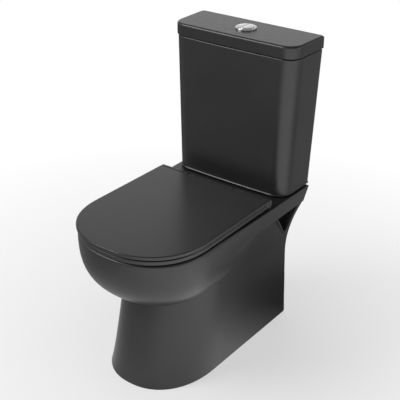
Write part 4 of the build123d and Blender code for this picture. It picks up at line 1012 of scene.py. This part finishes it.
FINISHES = {
    "black_rubber": finish_of(
        "black_rubber",
        colours=((0.018, 0.018, 0.018), (0.034, 0.034, 0.033)),
        roughness=(0.62, 0.82),
        scales=(60.0, 1100.0),
        bump=(0.25, 0.0003),
    ),
    "zinc_steel": finish_of(
        "zinc_steel",
        colours=((0.52, 0.52, 0.50), (0.70, 0.70, 0.68)),
        roughness=(0.28, 0.48),
        scales=(260.0, 1500.0),
        bump=(0.12, 0.0002),
        Metallic=1.0,
    ),
    "white_plastic": finish_of(
        "white_plastic",
        colours=((0.76, 0.76, 0.74), (0.84, 0.84, 0.82)),
        roughness=(0.34, 0.46),
        scales=(30.0, 900.0),
        bump=(0.08, 0.0002),
    ),
    "blue_plastic": finish_of(
        "blue_plastic",
        colours=((0.10, 0.25, 0.50), (0.14, 0.31, 0.58)),
        roughness=(0.30, 0.44),
        scales=(30.0, 900.0),
        bump=(0.08, 0.0002),
    ),
    "stainless": finish_of(  # drawn along the pins, so the scratches are long on X
        "stainless",
        colours=((0.54, 0.54, 0.54), (0.66, 0.66, 0.655)),
        roughness=(0.16, 0.34),
        scales=(40.0, 700.0),
        bump=(0.10, 0.0002),
        stretch=(0.05, 1.0, 1.0),
        Metallic=1.0,
    ),
    "black_hinge": HINGE_COAT,
    "black_seat_plastic": PLASTIC,
    "black_ceramic": GLAZE,
    "chrome_button": CHROME,
}


def ring_tree():
    """Rings with a rounded section, one on each point given."""
    tree = bpy.data.node_groups.new("moulded_rings", "GeometryNodeTree")
    face = tree.interface
    face.new_socket("Geometry", in_out="INPUT", socket_type="NodeSocketGeometry")
    for name in ("Outer Radius", "Bore", "Height", "Edge"):
        face.new_socket(name, in_out="INPUT", socket_type="NodeSocketFloat")
    face.new_socket("Finish", in_out="INPUT", socket_type="NodeSocketMaterial")
    face.new_socket("Geometry", in_out="OUTPUT", socket_type="NodeSocketGeometry")
    given = add_node(tree, "NodeGroupInput").outputs
    given_back = add_node(tree, "NodeGroupOutput").inputs
    both = add_node(tree, "ShaderNodeMath", operation="ADD")
    middle = add_node(tree, "ShaderNodeMath", operation="MULTIPLY")
    middle.inputs[1].default_value = 0.5
    width = add_node(tree, "ShaderNodeMath", operation="SUBTRACT")
    half = add_node(tree, "ShaderNodeMath", operation="MULTIPLY")
    half.inputs[1].default_value = 0.5
    lift = add_node(tree, "ShaderNodeCombineXYZ")
    path = add_node(tree, "GeometryNodeCurvePrimitiveCircle", Resolution=RING_ROUND)
    section = add_node(tree, "GeometryNodeCurvePrimitiveQuadrilateral")
    rounded = add_node(tree, "GeometryNodeFilletCurve")
    rounded.mode = "POLY"
    rounded.inputs["Count"].default_value = 3
    swept = add_node(tree, "GeometryNodeCurveToMesh")
    raised = add_node(tree, "GeometryNodeTransform")
    points = add_node(tree, "GeometryNodeMeshToPoints")
    placed = add_node(tree, "GeometryNodeInstanceOnPoints")
    real = add_node(tree, "GeometryNodeRealizeInstances")
    painted = add_node(tree, "GeometryNodeSetMaterial")
    join_up(
        tree,
        (given["Outer Radius"], both.inputs[0]),
        (given["Bore"], both.inputs[1]),
        (both.outputs[0], middle.inputs[0]),
        (given["Outer Radius"], width.inputs[0]),
        (given["Bore"], width.inputs[1]),
        (given["Height"], half.inputs[0]),
        (half.outputs[0], lift.inputs["Z"]),
        (middle.outputs[0], path.inputs["Radius"]),
        (width.outputs[0], section.inputs["Width"]),
        (given["Height"], section.inputs["Height"]),
        (section.outputs["Curve"], rounded.inputs["Curve"]),
        (given["Edge"], rounded.inputs["Radius"]),
        (path.outputs["Curve"], swept.inputs["Curve"]),
        (rounded.outputs["Curve"], swept.inputs["Profile Curve"]),
        (swept.outputs["Mesh"], raised.inputs["Geometry"]),
        (lift.outputs["Vector"], raised.inputs["Translation"]),
        (given["Geometry"], points.inputs["Mesh"]),
        (points.outputs["Points"], placed.inputs["Points"]),
        (raised.outputs["Geometry"], placed.inputs["Instance"]),
        (placed.outputs["Instances"], real.inputs["Geometry"]),
        (real.outputs["Geometry"], painted.inputs["Geometry"]),
        (given["Finish"], painted.inputs["Material"]),
        (painted.outputs["Geometry"], given_back["Geometry"]),
    )
    return tree


RINGS = ring_tree()
over_bolts = [(side * BOLT_X, VALVE_Y) for side in SIDES]
over_studs = [(side * HINGE_X, HINGE_Y) for side in SIDES]
for node, places, bore, edge in (  # places of the rings, their bore and the rounding of their edges
    ("seat_buffers", [(side * 0.143, y) for side in SIDES for y in (-0.095, 0.040)], 0.0015, 0.0009),
    ("cover_buffers", [(side * 0.140, y) for side in SIDES for y in (-0.120, 0.062)], 0.0012, 0.0012),
    ("bolt_seals", over_bolts, 0.00505, 0.0006),
    ("bolt_washers", over_bolts, 0.00505, 0.0003),
    ("deck_washers", over_bolts, 0.00505, 0.0003),
    ("hinge_washers", over_studs, 0.00415, 0.0004),
    ("hinge_nuts", over_studs, 0.00415, 0.0012),
    ("button_nut", [(0, VALVE_Y)], 0.02315, 0.0010),
    ("flush_valve_washer", [(0, VALVE_Y)], 0.03015, 0.0008),
    ("fill_valve_washer", [(FILL_X, VALVE_Y)], 0.01063, 0.0006),
):
    low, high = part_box(node)
    seeds = bpy.data.meshes.new(node + "_rings")
    seeds.from_pydata([(x, y, low.z) for x, y in places], [], [])
    rings = bpy.data.objects.new(node + "_rings", seeds)
    bpy.context.scene.collection.objects.link(rings)
    made = rings.modifiers.new("rings", "NODES")
    made.node_group = RINGS
    inputs = [item for item in RINGS.interface.items_tree if item.in_out == "INPUT"]
    sockets = {item.name: item.identifier for item in inputs}
    made[sockets["Outer Radius"]] = high.x - max(x for x, y in places)
    made[sockets["Bore"]] = bore
    made[sockets["Height"]] = high.z - low.z
    made[sockets["Edge"]] = edge
    made[sockets["Finish"]] = FINISHES[SLOT_OF[node]]
    settle(rings)
    smooth_by_angle(rings, 50)
    fit(rings, node, BODY_OF[node], FINISHES[SLOT_OF[node]])

# ---- valves, bolts and brackets ----
# What nobody sees in use: the flush and fill valves, moulded in white and blue plastic, the zinc
# plated bolts and brackets, the coupling plate, the hinge pins and studs, and the rubber pads.
for node, made in frame["nodes"].items():
    if made.hide_render:
        continue
    mesh = made.data.copy()
    merged = bmesh.new()
    merged.from_mesh(mesh)
    bmesh.ops.remove_doubles(merged, verts=merged.verts, dist=1e-6)
    merged.to_mesh(mesh)
    merged.free()
    part = bpy.data.objects.new(node + "_part", mesh)
    bpy.context.scene.collection.objects.link(part)
    smooth_by_angle(part)
    slot = "black_hinge" if node == "side_screws" else SLOT_OF[node]
    fit(part, node, BODY_OF[node], FINISHES[slot])
